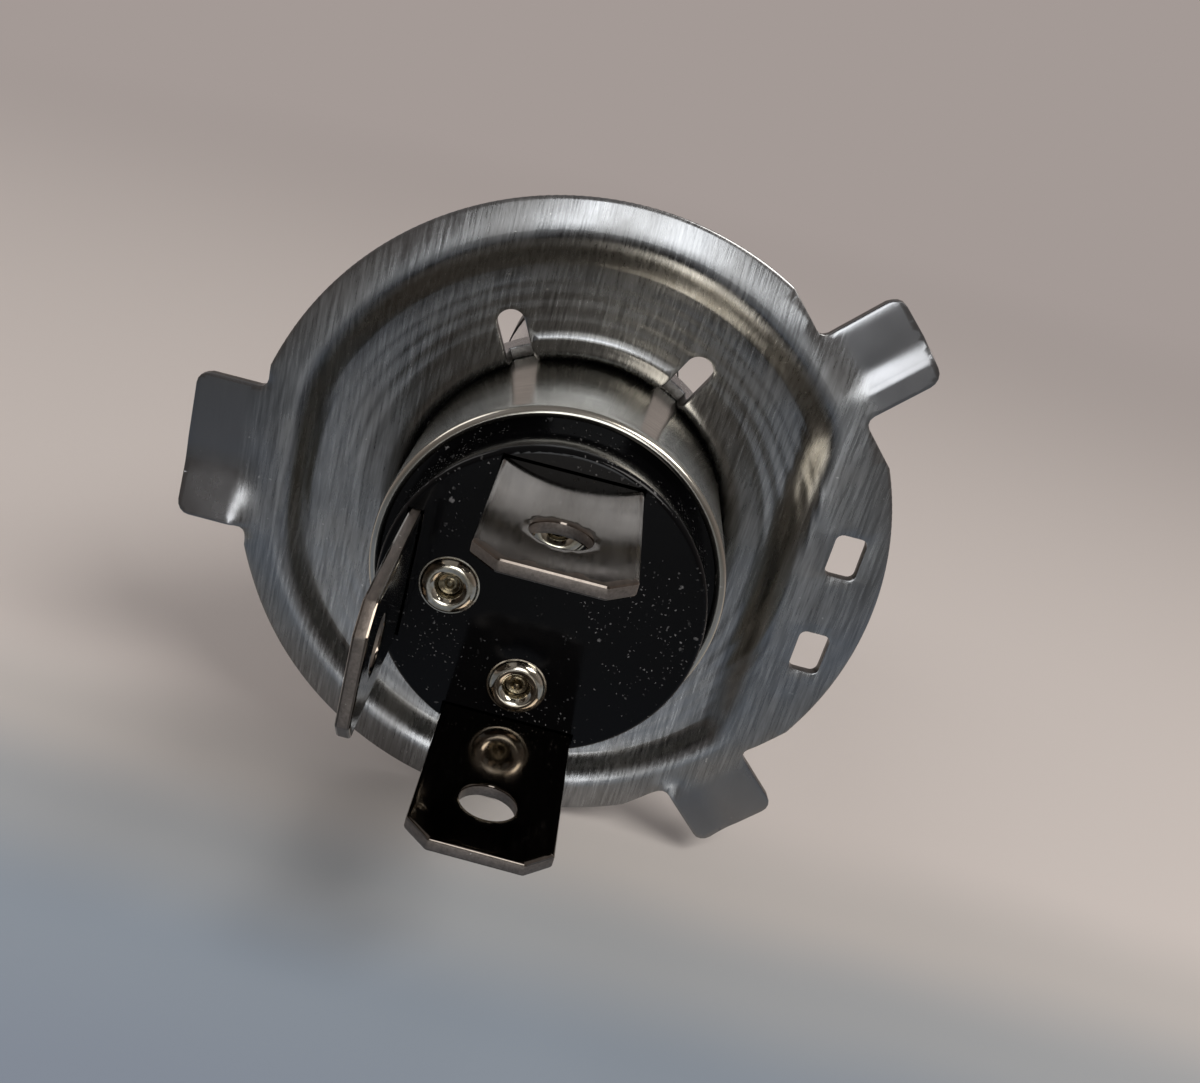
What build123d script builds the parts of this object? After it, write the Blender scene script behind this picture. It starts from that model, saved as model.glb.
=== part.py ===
"""Three-blade, two-filament headlight bulb with a pressed steel prefocus ring.

The bulb's axis is Y. Y = 0 is the front face of the ring's flat rim, which seats on the
lamp; the glass points along +Y and the three contact blades along -Y. The wide lug points
along -X, and the two narrow lugs lie 45 degrees either side of +X. All sizes are in mm.
"""

from build123d import *
from math import acos, degrees, hypot, sqrt
import os

# ---- Driving dimensions -------------------------------------------------------------
FRONT_LENGTH = 56.0  # ring seat to the tip of the glass
REAR_LENGTH = 26.0  # ring seat to the tips of the blades
LIGHT_CENTRE = 28.5  # ring seat to the rear end of the shield cup

RING_DIAMETER = 43.0
RING_SHEET = 0.8
RIM_WIDTH = 2.6  # flat rim outside the step
STEP_RUN = 1.0  # how far the step moves inwards as it drops
STEP_DEPTH = 0.9
DISH_DEPTH = 1.6  # further drop of the dish from the step to the neck
CHORD_DISTANCE = 15.5  # axis to the straight step beside the windows
NECK_GAP = 0.6  # air between the neck's rear end and the sleeve
NECK_BAND = 3.0  # length of neck welded to the sleeve
NECK_TAPER = 2.2
LUG_REACH = 4.2  # lug tips beyond the rim
WIDE_LUG_WIDTH = 9.8
NARROW_LUG_WIDTH = 5.9
NARROW_LUG_ANGLE = 45.0
ROOT_CUT = 1.0  # depth of the straight cuts in the rim beside each lug
ROOT_FILLET = 0.6
LUG_CORNER = 0.9
WINDOW_WIDTH = 2.0
WINDOW_HEIGHT = 2.9
WINDOW_CORNER = 0.45
WINDOW_PLACE = 18.5  # axis to the middles of the windows, along +X
WINDOW_PITCH = 7.1
SLOT_WIDTH = 1.8
SLOT_LENGTH = 3.3  # from the neck outwards
SLOT_ANGLE = 26.0  # either side of +Z and -Z

BLADE_WIDTH = 8.0
BLADE_THICKNESS = 0.8
BLADE_SPACING = 16.2  # between the middles of the two parallel blades
BLADE_HOLE_RADIUS = 1.6
BLADE_HOLE_FROM_TIP = 4.6
BLADE_CHAMFER = 1.4
FOOT_WIDTH = 5.0

PLUG_MARGIN = 0.3  # plug beyond the corners of the blades
PLUG_SHOULDER = 0.7
PLUG_REAR = 12.3  # ring seat to the plug's rear face
PLUG_PLATE = 3.3
PLUG_WALL = 0.6
PLUG_SKIRT = 4.5  # shoulder's length along the sleeve
PLUG_EDGE = 0.35
BLADE_SLOT_CLEARANCE = 0.1
PLUG_CLEARANCE = 0.05

SLEEVE_WALL = 0.45
SLEEVE_REAR = 8.5
SLEEVE_FRONT = 8.0
SLEEVE_RIM_ROUND = 0.3

EYELET_INSET = 2.8  # middle of the blade to the middle of its eyelet
EYELET_FLANGE_RADIUS = 1.8
EYELET_BARREL_RADIUS = 1.25
EYELET_WALL = 0.35
EYELET_LIP = 0.5
EYELET_ROLL = 0.4
EYELET_CLEARANCE = 0.05
SOLDER_DEPTH = 2.0

GLASS_DIAMETER = 16.6
GLASS_WALL = 1.0
CAVITY_FLOOR = 15.0
NUB_RADIUS = 1.3
NUB_LENGTH = 1.4
COAT_THICKNESS = 0.12
COAT_LENGTH = 15.0
PINCH_WIDTH = 13.4
PINCH_THICKNESS = 4.6
PINCH_REAR = 1.0
SHOULDER_ROUND = 3.5
CAVITY_ROUND = 3.0
PINCH_ROUND = 1.2
PINCH_TO_CAVITY = 3.0  # glass between the cavity's floor and the pinch's shoulder

HOLDER_WALL = 0.5
HOLDER_REAR = 3.5
HOLDER_STEP = 1.0
HOLDER_FRONT = 14.0
HOLDER_AIR = 0.7  # between the holder's mouth and the glass
FINGER_SLOT = 1.4
FINGER_LENGTH = 1.8
CLIP_PLACE = 5.0
CLIP_SHEET = 0.5
CLIP_TONGUE = 3.2
CLIP_CLEARANCE = 0.03

LEAD_RADIUS = 0.4
LEAD_PITCH = 4.5
LEAD_BEND = 1.2
LEAD_STRAIGHT = 1.5  # straight wire in front of the eyelets
FOIL_REAR = 5.0
FOIL_LENGTH = 5.0
FOIL_WIDTH = 2.0
FOIL_THICKNESS = 0.1
INNER_LEAD_RADIUS = 0.3
INNER_RISE = 1.5  # straight wire above the cavity's floor
INNER_BEND = 0.8
LEG_LENGTH = 0.4

CUP_RADIUS = 1.9
CUP_WALL = 0.3
CUP_LENGTH = 7.4
COIL_RADIUS = 0.75
COIL_WALL = 0.3
LOW_COIL_LENGTH = 5.0
HIGH_COIL_LENGTH = 4.5
COIL_OFFSET = 0.7  # each coil to its own side of the axis
COIL_TO_CUP = 1.0
LEG_RADIUS = 0.12
HIGH_COIL_TO_CUP = 1.6

# ---- Worked-out sizes ---------------------------------------------------------------
ring_radius = RING_DIAMETER / 2
step_radius = ring_radius - RIM_WIDTH
dish_radius = step_radius - STEP_RUN
blade_offset = BLADE_SPACING / 2
plug_radius = hypot(blade_offset + BLADE_THICKNESS / 2, BLADE_WIDTH / 2) + PLUG_MARGIN
shoulder_radius = plug_radius + PLUG_SHOULDER
sleeve_bore = shoulder_radius + PLUG_CLEARANCE
sleeve_radius = sleeve_bore + SLEEVE_WALL
root_line = ring_radius - ROOT_CUT
neck_radius = sleeve_radius + NECK_GAP
slot_overall = SLOT_LENGTH + 2 * SLOT_WIDTH
slot_middle = neck_radius + SLOT_LENGTH - slot_overall / 2
neck_rear = STEP_DEPTH + DISH_DEPTH - RING_SHEET
band_rear = neck_rear + NECK_TAPER
plate_front = -PLUG_REAR + PLUG_PLATE
shoulder_rear = -SLEEVE_REAR + SLEEVE_WALL
foot_front = plate_front + BLADE_THICKNESS
eyelet_radius = blade_offset - EYELET_INSET
glass_radius = GLASS_DIAMETER / 2
glass_tip = FRONT_LENGTH - COAT_THICKNESS
dome_centre = glass_tip - NUB_LENGTH - glass_radius
pinch_front = CAVITY_FLOOR - PINCH_TO_CAVITY
holder_radius = sleeve_bore
mouth_radius = glass_radius + HOLDER_AIR + HOLDER_WALL
solder_front = -PLUG_REAR + SOLDER_DEPTH
foil_front = FOIL_REAR + FOIL_LENGTH
cup_outer = CUP_RADIUS + CUP_WALL
cup_front = LIGHT_CENTRE + CUP_LENGTH
low_coil_rear = LIGHT_CENTRE + COIL_TO_CUP
low_coil_front = low_coil_rear + LOW_COIL_LENGTH
high_coil_front = LIGHT_CENTRE - HIGH_COIL_TO_CUP
high_coil_rear = high_coil_front - HIGH_COIL_LENGTH

# Each lug's angle in the plane of the ring, and its width.
LUGS = [
    (180, WIDE_LUG_WIDTH),
    (NARROW_LUG_ANGLE, NARROW_LUG_WIDTH),
    (-NARROW_LUG_ANGLE, NARROW_LUG_WIDTH),
]

# Each circuit's outward direction round the axis. The low-beam blade is beside the wide lug.
CIRCUITS = {"low_beam": (-1, 0), "common": (0, 1), "high_beam": (0, -1)}

os.makedirs("parts", exist_ok=True)


def outward(circuit, distance, y=0.0):
    """Gives the point at a distance from the axis, on one circuit's side."""
    x, z = CIRCUITS[circuit]
    return (x * distance, y, z * distance)


def lead_place(circuit):
    """Gives where a circuit's wire crosses the pinch, along Z."""
    return CIRCUITS[circuit][1] * LEAD_PITCH


def save(builder, name):
    """Labels a finished piece and writes it."""
    builder.part.label = name
    export_step(builder.part, f"parts/{name}.step")


# ---- Prefocus ring ------------------------------------------------------------------
def envelope_line(radius_in, drop):
    """Gives the ring's rear surface, moved forward by drop, from the rim to radius_in."""
    slope_end = (radius_in, STEP_DEPTH + DISH_DEPTH - RING_SHEET + drop)
    return [
        (step_radius, drop - RING_SHEET),
        (dish_radius, STEP_DEPTH - RING_SHEET + drop),
        slope_end,
    ]


def lug_outline(angle, width):
    """Draws one lug, from inside the rim to its rounded end."""
    with BuildSketch(Plane.XZ, mode=Mode.PRIVATE) as lug:
        with Locations(Location((0, 0), angle)):
            with Locations((ring_radius, 0)):
                Rectangle(ring_radius, width)
        Circle(ring_radius + LUG_REACH, mode=Mode.INTERSECT)
    return lug.sketch


# Everything between the rim's rear face and the dish's front face: it trims the chord step.
with BuildPart() as chord_step:
    with BuildSketch(Plane.XY):
        with BuildLine():
            front_face = envelope_line(neck_radius, RING_SHEET)
            Polyline((neck_radius, -RING_SHEET), (step_radius, -RING_SHEET), *front_face, close=True)
        make_face()
    revolve(axis=Axis.Y)
    with BuildSketch(Plane.XZ.offset(RING_SHEET)):
        with Locations((CHORD_DISTANCE - RING_SHEET / 2, 0)):
            Rectangle(RING_SHEET, RING_DIAMETER)
    extrude(amount=-RING_DIAMETER, mode=Mode.INTERSECT)

with BuildPart() as prefocus_ring:
    # Step, dish and neck, as one pressed wall.
    with BuildSketch(Plane.XY):
        with BuildLine():
            rear = envelope_line(neck_radius + RING_SHEET, 0)
            front = envelope_line(neck_radius + RING_SHEET, RING_SHEET)
            Polyline(
                *rear,
                (neck_radius, neck_rear + RING_SHEET / 2),
                (neck_radius, band_rear - NECK_TAPER / 2),
                (sleeve_radius, band_rear),
                (sleeve_radius, band_rear + NECK_BAND),
                (sleeve_radius + RING_SHEET, band_rear + NECK_BAND),
                (sleeve_radius + RING_SHEET, band_rear),
                (neck_radius + RING_SHEET, band_rear - NECK_TAPER / 2),
                *reversed(front),
                close=True,
            )
        make_face()
    revolve(axis=Axis.Y)
    # The segment outside the chord stays at the rim's level.
    with BuildSketch(Plane.XZ.offset(RING_SHEET)):
        with Locations((CHORD_DISTANCE + ring_radius, 0)):
            Rectangle(2 * ring_radius, RING_DIAMETER)
    extrude(amount=-(RING_SHEET + neck_rear + RING_SHEET), mode=Mode.SUBTRACT)
    add(chord_step.part)
    # Flat rim with its lugs and the flat segment.
    with BuildSketch(Plane.XZ):
        Circle(ring_radius)
        for angle, width in LUGS:
            # The rim is cut straight beside the lug, which then reaches out over the cut.
            with Locations(Location((0, 0), angle)):
                with Locations((root_line + ring_radius / 2, 0)):
                    Rectangle(ring_radius, ring_radius, mode=Mode.SUBTRACT)
            add(lug_outline(angle, width))
        with BuildSketch(Plane.XZ, mode=Mode.PRIVATE) as opening:
            Circle(step_radius)
            with Locations((CHORD_DISTANCE + ring_radius, 0)):
                Rectangle(2 * ring_radius, RING_DIAMETER, mode=Mode.SUBTRACT)
        add(opening.sketch, mode=Mode.SUBTRACT)
    extrude(amount=RING_SHEET)
    corners = [(hypot(e.center().X, e.center().Z), e) for e in prefocus_ring.edges().filter_by(Axis.Y)]
    tips = [edge for radius, edge in corners if radius > ring_radius + LUG_REACH / 2]
    fillet(tips, LUG_CORNER)
    corners = [(hypot(e.center().X, e.center().Z), e) for e in prefocus_ring.edges().filter_by(Axis.Y)]
    roots = [edge for radius, edge in corners if root_line < radius < ring_radius - ROOT_CUT / 4]
    fillet(roots, ROOT_FILLET)
    # Two windows in the flat segment.
    with BuildSketch(Plane.XZ):
        with Locations((WINDOW_PLACE, 0)):
            with GridLocations(0, WINDOW_PITCH, 1, 2):
                RectangleRounded(WINDOW_WIDTH, WINDOW_HEIGHT, WINDOW_CORNER)
    extrude(amount=RING_SHEET, mode=Mode.SUBTRACT)
    # Four slots that run out of the neck into the dish.
    for middle in (90, 270):
        for side in (-1, 1):
            with BuildSketch(Plane.XZ.offset(RING_SHEET)):
                with Locations(Location((0, 0), middle + side * SLOT_ANGLE)):
                    with Locations((slot_middle, 0)):
                        SlotOverall(slot_overall, SLOT_WIDTH)
            extrude(amount=-(RING_SHEET + band_rear - NECK_TAPER / 2), mode=Mode.SUBTRACT)
save(prefocus_ring, "prefocus_ring")

# ---- Sleeve: drawn tube whose rear rim is rolled in over the plug's shoulder ----------
with BuildPart() as base_sleeve:
    with BuildSketch(Plane.XY):
        with BuildLine():
            Polyline(
                (sleeve_radius, SLEEVE_FRONT),
                (sleeve_radius, -SLEEVE_REAR),
                (plug_radius + PLUG_CLEARANCE, -SLEEVE_REAR),
                (plug_radius + PLUG_CLEARANCE, shoulder_rear),
                (sleeve_bore, shoulder_rear),
                (sleeve_bore, SLEEVE_FRONT),
                close=True,
            )
        make_face()
    revolve(axis=Axis.Y)
    rim = base_sleeve.edges().filter_by(GeomType.CIRCLE).group_by(Axis.Y)[0].sort_by(SortBy.RADIUS)[-1]
    fillet(rim, SLEEVE_RIM_ROUND)
save(base_sleeve, "base_sleeve")

# ---- Insulator plug -----------------------------------------------------------------
with BuildPart() as insulator_plug:
    with BuildSketch(Plane.XY):
        with BuildLine():
            Polyline(
                (0, -PLUG_REAR),
                (plug_radius, -PLUG_REAR),
                (plug_radius, shoulder_rear),
                (shoulder_radius, shoulder_rear),
                (shoulder_radius, shoulder_rear + PLUG_SKIRT),
                (plug_radius - PLUG_WALL, shoulder_rear + PLUG_SKIRT),
                (plug_radius - PLUG_WALL, plate_front),
                (0, plate_front),
                close=True,
            )
        make_face()
    revolve(axis=Axis.Y)
    rear_edges = insulator_plug.edges().filter_by(GeomType.CIRCLE).group_by(Axis.Y)[0]
    fillet(rear_edges.sort_by(SortBy.RADIUS)[-1], PLUG_EDGE)
    for circuit, (x, z) in CIRCUITS.items():
        slot = Plane(outward(circuit, blade_offset, plate_front), x_dir=(x, 0, z), z_dir=(0, -1, 0))
        with BuildSketch(slot):
            Rectangle(
                BLADE_THICKNESS + 2 * BLADE_SLOT_CLEARANCE,
                BLADE_WIDTH + 2 * BLADE_SLOT_CLEARANCE,
            )
        extrude(amount=PLUG_PLATE, mode=Mode.SUBTRACT)
        with BuildSketch(Plane(outward(circuit, eyelet_radius, plate_front), z_dir=(0, -1, 0))):
            Circle(EYELET_BARREL_RADIUS + EYELET_CLEARANCE)
        extrude(amount=PLUG_PLATE, mode=Mode.SUBTRACT)
save(insulator_plug, "insulator_plug")


# ---- Contact blades -----------------------------------------------------------------
def make_blade(circuit):
    """Makes one blade: a flat tongue with a hole and clipped corners, and a bent foot."""
    x, z = CIRCUITS[circuit]
    tip = -REAR_LENGTH
    half = BLADE_WIDTH / 2
    inner_face = outward(circuit, blade_offset - BLADE_THICKNESS / 2)
    foot_end = eyelet_radius - EYELET_FLANGE_RADIUS - EYELET_CLEARANCE
    foot_outer = blade_offset + BLADE_THICKNESS / 2
    with BuildPart() as blade:
        with BuildSketch(Plane(inner_face, x_dir=(0, 1, 0), z_dir=(x, 0, z))):
            with BuildLine():
                Polyline(
                    (plate_front, -half),
                    (tip + BLADE_CHAMFER, -half),
                    (tip, -half + BLADE_CHAMFER),
                    (tip, half - BLADE_CHAMFER),
                    (tip + BLADE_CHAMFER, half),
                    (plate_front, half),
                    close=True,
                )
            make_face()
            with Locations((tip + BLADE_HOLE_FROM_TIP, 0)):
                Circle(BLADE_HOLE_RADIUS, mode=Mode.SUBTRACT)
        extrude(amount=BLADE_THICKNESS)
        with BuildSketch(Plane((0, plate_front, 0), x_dir=(x, 0, z), z_dir=(0, 1, 0))):
            with Locations(((foot_end + foot_outer) / 2, 0)):
                Rectangle(foot_outer - foot_end, FOOT_WIDTH)
            with Locations((eyelet_radius, 0)):
                Circle(EYELET_BARREL_RADIUS + EYELET_CLEARANCE, mode=Mode.SUBTRACT)
        extrude(amount=BLADE_THICKNESS)
    return blade


for circuit in CIRCUITS:
    save(make_blade(circuit), f"blade_{circuit}")

# ---- Eyelets and their solder ---------------------------------------------------------
barrel_bore = EYELET_BARREL_RADIUS - EYELET_WALL
with BuildPart() as rivet_eyelets:
    for circuit in CIRCUITS:
        with BuildSketch(Plane(outward(circuit, eyelet_radius))):
            with BuildLine():
                Polyline(
                    (barrel_bore, -PLUG_REAR),
                    (EYELET_FLANGE_RADIUS - EYELET_WALL, -PLUG_REAR - EYELET_LIP),
                    (EYELET_FLANGE_RADIUS, -PLUG_REAR - EYELET_LIP),
                    (EYELET_FLANGE_RADIUS, -PLUG_REAR),
                    (EYELET_BARREL_RADIUS, -PLUG_REAR),
                    (EYELET_BARREL_RADIUS, foot_front),
                    (EYELET_FLANGE_RADIUS, foot_front),
                    (EYELET_FLANGE_RADIUS, foot_front + EYELET_ROLL),
                    (barrel_bore, foot_front + EYELET_ROLL),
                    close=True,
                )
            make_face()
        revolve(axis=Axis(outward(circuit, eyelet_radius), (0, 1, 0)))
save(rivet_eyelets, "rivet_eyelets")

with BuildPart() as solder_joints:
    for circuit in CIRCUITS:
        with BuildSketch(Plane(outward(circuit, eyelet_radius))):
            with BuildLine():
                Line((0, solder_front), (barrel_bore, solder_front))
                Line((barrel_bore, solder_front), (barrel_bore, -PLUG_REAR))
                Line((barrel_bore, -PLUG_REAR), (barrel_bore / 2, -PLUG_REAR))
                RadiusArc((barrel_bore / 2, -PLUG_REAR), (0, -PLUG_REAR - barrel_bore / 2), barrel_bore / 2)
                Line((0, -PLUG_REAR - barrel_bore / 2), (0, solder_front))
            make_face()
        revolve(axis=Axis(outward(circuit, eyelet_radius), (0, 1, 0)))
save(solder_joints, "solder_joints")


# ---- Wires ----------------------------------------------------------------------------
def make_wire(points, radius, bend):
    """Sweeps a round wire along straight runs joined by arcs."""
    with BuildPart() as wire:
        with BuildLine() as route:
            FilletPolyline(*points, radius=bend)
        with BuildSketch(route.line ^ 0):
            Circle(radius)
        sweep()
    return wire


for circuit in CIRCUITS:
    place = lead_place(circuit)
    bend_front = -PINCH_REAR
    bend_rear = foot_front + EYELET_ROLL + LEAD_STRAIGHT
    route_points = [
        (0, FOIL_REAR, place),
        (0, bend_front, place),
        outward(circuit, eyelet_radius, bend_rear),
        outward(circuit, eyelet_radius, solder_front),
    ]
    save(make_wire(route_points, LEAD_RADIUS, LEAD_BEND), f"outer_lead_{circuit}")

coil_x = {"low_beam": -COIL_OFFSET, "high_beam": COIL_OFFSET}
beside_cup = cup_outer + INNER_LEAD_RADIUS
past_high_coil = coil_x["low_beam"] - 3 * COIL_RADIUS
low_lead_tip = low_coil_rear - COIL_TO_CUP / 2
high_lead_tip = high_coil_rear - LEG_LENGTH
inner_routes = {
    "low_beam": [
        (0, foil_front, lead_place("low_beam")),
        (0, CAVITY_FLOOR + INNER_RISE, lead_place("low_beam")),
        (past_high_coil, CAVITY_FLOOR + 3 * INNER_RISE, 0),
        (past_high_coil, high_coil_front, 0),
        (coil_x["low_beam"], low_lead_tip, 0),
    ],
    "common": [
        (0, foil_front, lead_place("common")),
        (0, CAVITY_FLOOR + INNER_RISE, lead_place("common")),
        (coil_x["low_beam"], high_coil_rear, beside_cup),
        (coil_x["low_beam"], cup_front - CUP_WALL, beside_cup),
    ],
    "high_beam": [
        (0, foil_front, lead_place("high_beam")),
        (0, CAVITY_FLOOR + INNER_RISE, lead_place("high_beam")),
        (coil_x["high_beam"], high_lead_tip - INNER_RISE, 0),
        (coil_x["high_beam"], high_lead_tip, 0),
    ],
}
for circuit, points in inner_routes.items():
    save(make_wire(points, INNER_LEAD_RADIUS, INNER_BEND), f"inner_lead_{circuit}")

with BuildPart() as seal_foils:
    with BuildSketch(Plane.XZ.offset(-FOIL_REAR)):
        with GridLocations(0, LEAD_PITCH, 1, len(CIRCUITS)):
            Rectangle(FOIL_THICKNESS, FOIL_WIDTH)
    extrude(amount=-FOIL_LENGTH)
save(seal_foils, "seal_foils")


# ---- Filaments and shield cup -----------------------------------------------------------
def make_coil(x, rear, length):
    """Makes a coil's outer shape: a thin closed tube along Y."""
    with BuildPart() as coil:
        with BuildSketch(Plane.XZ.offset(-rear)):
            with Locations((x, 0)):
                Circle(COIL_RADIUS)
        extrude(amount=-length)
        with BuildSketch(Plane.XZ.offset(-rear - COIL_WALL)):
            with Locations((x, 0)):
                Circle(COIL_RADIUS - COIL_WALL)
        extrude(amount=-(length - 2 * COIL_WALL), mode=Mode.SUBTRACT)
    return coil


low_rear_leg = Cylinder(LEG_RADIUS, low_coil_rear - low_lead_tip, align=(Align.CENTER, Align.CENTER, Align.MIN))
low_front_leg = Cylinder(
    LEG_RADIUS,
    cup_front - CUP_WALL - low_coil_front,
    align=(Align.CENTER, Align.CENTER, Align.MIN),
)
low_x, high_x = coil_x["low_beam"], coil_x["high_beam"]
low_coil = make_coil(low_x, low_coil_rear, LOW_COIL_LENGTH)
with BuildPart() as filament_low_beam:
    add(low_coil.part)
    add(Plane((low_x, low_lead_tip, 0), z_dir=(0, 1, 0)) * low_rear_leg)
    add(Plane((low_x, low_coil_front, 0), z_dir=(0, 1, 0)) * low_front_leg)
save(filament_low_beam, "filament_low_beam")

# The front leg of the high-beam coil runs sideways to the common wire's surface.
leg_level = high_coil_front + LEG_LENGTH
sideways = Vector(low_x - high_x, 0, beside_cup)
leg_end = Vector(high_x, leg_level, 0) + sideways.normalized() * (sideways.length - INNER_LEAD_RADIUS)
high_front_leg = make_wire(
    [(high_x, high_coil_front, 0), (high_x, leg_level, 0), tuple(leg_end)],
    LEG_RADIUS,
    2 * LEG_RADIUS,
)
high_rear_leg = Cylinder(LEG_RADIUS, LEG_LENGTH, align=(Align.CENTER, Align.CENTER, Align.MIN))
high_coil = make_coil(high_x, high_coil_rear, HIGH_COIL_LENGTH)
with BuildPart() as filament_high_beam:
    add(high_coil.part)
    add(Plane((high_x, high_lead_tip, 0), z_dir=(0, 1, 0)) * high_rear_leg)
    add(high_front_leg.part)
save(filament_high_beam, "filament_high_beam")

# Half tube under the low-beam coil, open towards the wide lug, with its front end closed.
with BuildPart() as shield_cup:
    with BuildSketch(Plane.XZ.offset(-LIGHT_CENTRE)):
        with Locations((low_x, 0)):
            Circle(cup_outer)
        with Locations((low_x - cup_outer, 0)):
            Rectangle(2 * cup_outer, 2 * cup_outer, mode=Mode.SUBTRACT)
    extrude(amount=-CUP_LENGTH)
    with BuildSketch(Plane.XZ.offset(-LIGHT_CENTRE)):
        with Locations((low_x, 0)):
            Circle(CUP_RADIUS)
    extrude(amount=-(CUP_LENGTH - CUP_WALL), mode=Mode.SUBTRACT)
save(shield_cup, "shield_cup")


# ---- Glass ------------------------------------------------------------------------------
def bulb_face(rear, growth, shoulder):
    """Draws half of the bulb's outline from rear to the tip, grown outwards by growth."""
    radius = glass_radius + growth
    nub = NUB_RADIUS + growth
    nub_angle = degrees(acos(nub / radius))
    nub_base = dome_centre + sqrt(radius**2 - nub**2)
    with BuildSketch(Plane.XY) as face:
        with BuildLine():
            Line((0, rear), (radius - shoulder, rear))
            if shoulder:
                RadiusArc((radius - shoulder, rear), (radius, rear + shoulder), -shoulder)
            Line((radius, rear + shoulder), (radius, dome_centre))
            CenterArc((0, dome_centre), radius, 0, nub_angle)
            Line((nub, nub_base), (nub, glass_tip - NUB_RADIUS))
            CenterArc((0, glass_tip - NUB_RADIUS), nub, 0, 90)
            Line((0, glass_tip + growth), (0, rear))
        make_face()
    return face.sketch


coat_rear = FRONT_LENGTH - COAT_LENGTH
glass_outline = bulb_face(pinch_front, 0, SHOULDER_ROUND)
coated_outline = bulb_face(coat_rear, COAT_THICKNESS, 0)
bare_outline = bulb_face(coat_rear, 0, 0)

with BuildPart() as glass_envelope:
    add(glass_outline)
    revolve(axis=Axis.Y)
    with BuildSketch(Plane.XZ.offset(-PINCH_REAR)):
        RectangleRounded(PINCH_THICKNESS, PINCH_WIDTH, PINCH_ROUND)
    extrude(amount=-(pinch_front + SHOULDER_ROUND / 2 - PINCH_REAR))
    cavity_radius = glass_radius - GLASS_WALL
    with BuildSketch(Plane.XY):
        with BuildLine():
            floor_edge = (cavity_radius - CAVITY_ROUND, CAVITY_FLOOR)
            Line((0, CAVITY_FLOOR), floor_edge)
            RadiusArc(floor_edge, (cavity_radius, CAVITY_FLOOR + CAVITY_ROUND), -CAVITY_ROUND)
            Line((cavity_radius, CAVITY_FLOOR + CAVITY_ROUND), (cavity_radius, dome_centre))
            CenterArc((0, dome_centre), cavity_radius, 0, 90)
            Line((0, dome_centre + cavity_radius), (0, CAVITY_FLOOR))
        make_face()
    revolve(axis=Axis.Y, mode=Mode.SUBTRACT)
    # The pinch closes round the wires and foils.
    with BuildSketch(Plane.XZ.offset(-PINCH_REAR)):
        with GridLocations(0, LEAD_PITCH, 1, len(CIRCUITS)):
            Circle(LEAD_RADIUS)
    extrude(amount=-(FOIL_REAR - PINCH_REAR), mode=Mode.SUBTRACT)
    with BuildSketch(Plane.XZ.offset(-FOIL_REAR)):
        with GridLocations(0, LEAD_PITCH, 1, len(CIRCUITS)):
            Rectangle(FOIL_THICKNESS, FOIL_WIDTH)
    extrude(amount=-FOIL_LENGTH, mode=Mode.SUBTRACT)
    with BuildSketch(Plane.XZ.offset(-foil_front)):
        with GridLocations(0, LEAD_PITCH, 1, len(CIRCUITS)):
            Circle(INNER_LEAD_RADIUS)
    extrude(amount=-(CAVITY_FLOOR - foil_front), mode=Mode.SUBTRACT)
save(glass_envelope, "glass_envelope")

with BuildPart() as tip_coating:
    add(coated_outline)
    revolve(axis=Axis.Y)
    add(bare_outline)
    revolve(axis=Axis.Y, mode=Mode.SUBTRACT)
save(tip_coating, "tip_coating")

# ---- Holder and clip --------------------------------------------------------------------
step_rear = SLEEVE_FRONT + HOLDER_STEP / 2
with BuildPart() as holder_shell:
    with BuildSketch(Plane.XY):
        with BuildLine():
            Polyline(
                (holder_radius, HOLDER_REAR),
                (holder_radius, step_rear),
                (mouth_radius, step_rear + HOLDER_STEP),
                (mouth_radius, HOLDER_FRONT),
                (mouth_radius - HOLDER_WALL, HOLDER_FRONT),
                (mouth_radius - HOLDER_WALL, step_rear + HOLDER_STEP),
                (holder_radius - HOLDER_WALL, step_rear),
                (holder_radius - HOLDER_WALL, HOLDER_REAR),
                close=True,
            )
        make_face()
    revolve(axis=Axis.Y)
    # Slots that leave four spring fingers at the mouth.
    with BuildSketch(Plane.XZ.offset(-HOLDER_FRONT)):
        with PolarLocations(mouth_radius, 4, start_angle=45):
            Rectangle(4 * HOLDER_WALL, FINGER_SLOT)
    extrude(amount=FINGER_LENGTH, mode=Mode.SUBTRACT)
save(holder_shell, "holder_shell")

hole_thickness = PINCH_THICKNESS + 2 * CLIP_CLEARANCE
with BuildPart() as pinch_clip:
    with BuildSketch(Plane.XZ.offset(-CLIP_PLACE)):
        Circle(holder_radius - HOLDER_WALL)
        Rectangle(hole_thickness, PINCH_WIDTH + 2 * CLIP_CLEARANCE, mode=Mode.SUBTRACT)
    extrude(amount=-CLIP_SHEET)
    with BuildSketch(Plane.XZ.offset(-CLIP_PLACE)):
        with GridLocations(hole_thickness + CLIP_SHEET, 0, 2, 1):
            Rectangle(CLIP_SHEET, PINCH_WIDTH / 2)
    extrude(amount=-(CLIP_SHEET + CLIP_TONGUE))
save(pinch_clip, "pinch_clip")
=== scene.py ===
"""Headlight bulb with three contact blades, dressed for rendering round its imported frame.

The bulb's axis is Y. The flat rim of the prefocus ring lies behind Y = 0, the glass points
along +Y and the blades along -Y. Sizes are in millimetres and become metres in the meshes.
"""

import logging
import math
from dataclasses import dataclass
from enum import Enum
from typing import Callable, Sequence

import bmesh
import bpy
import numpy as np
from mathutils import Matrix, Vector
from mathutils.geometry import delaunay_2d_cdt


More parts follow.
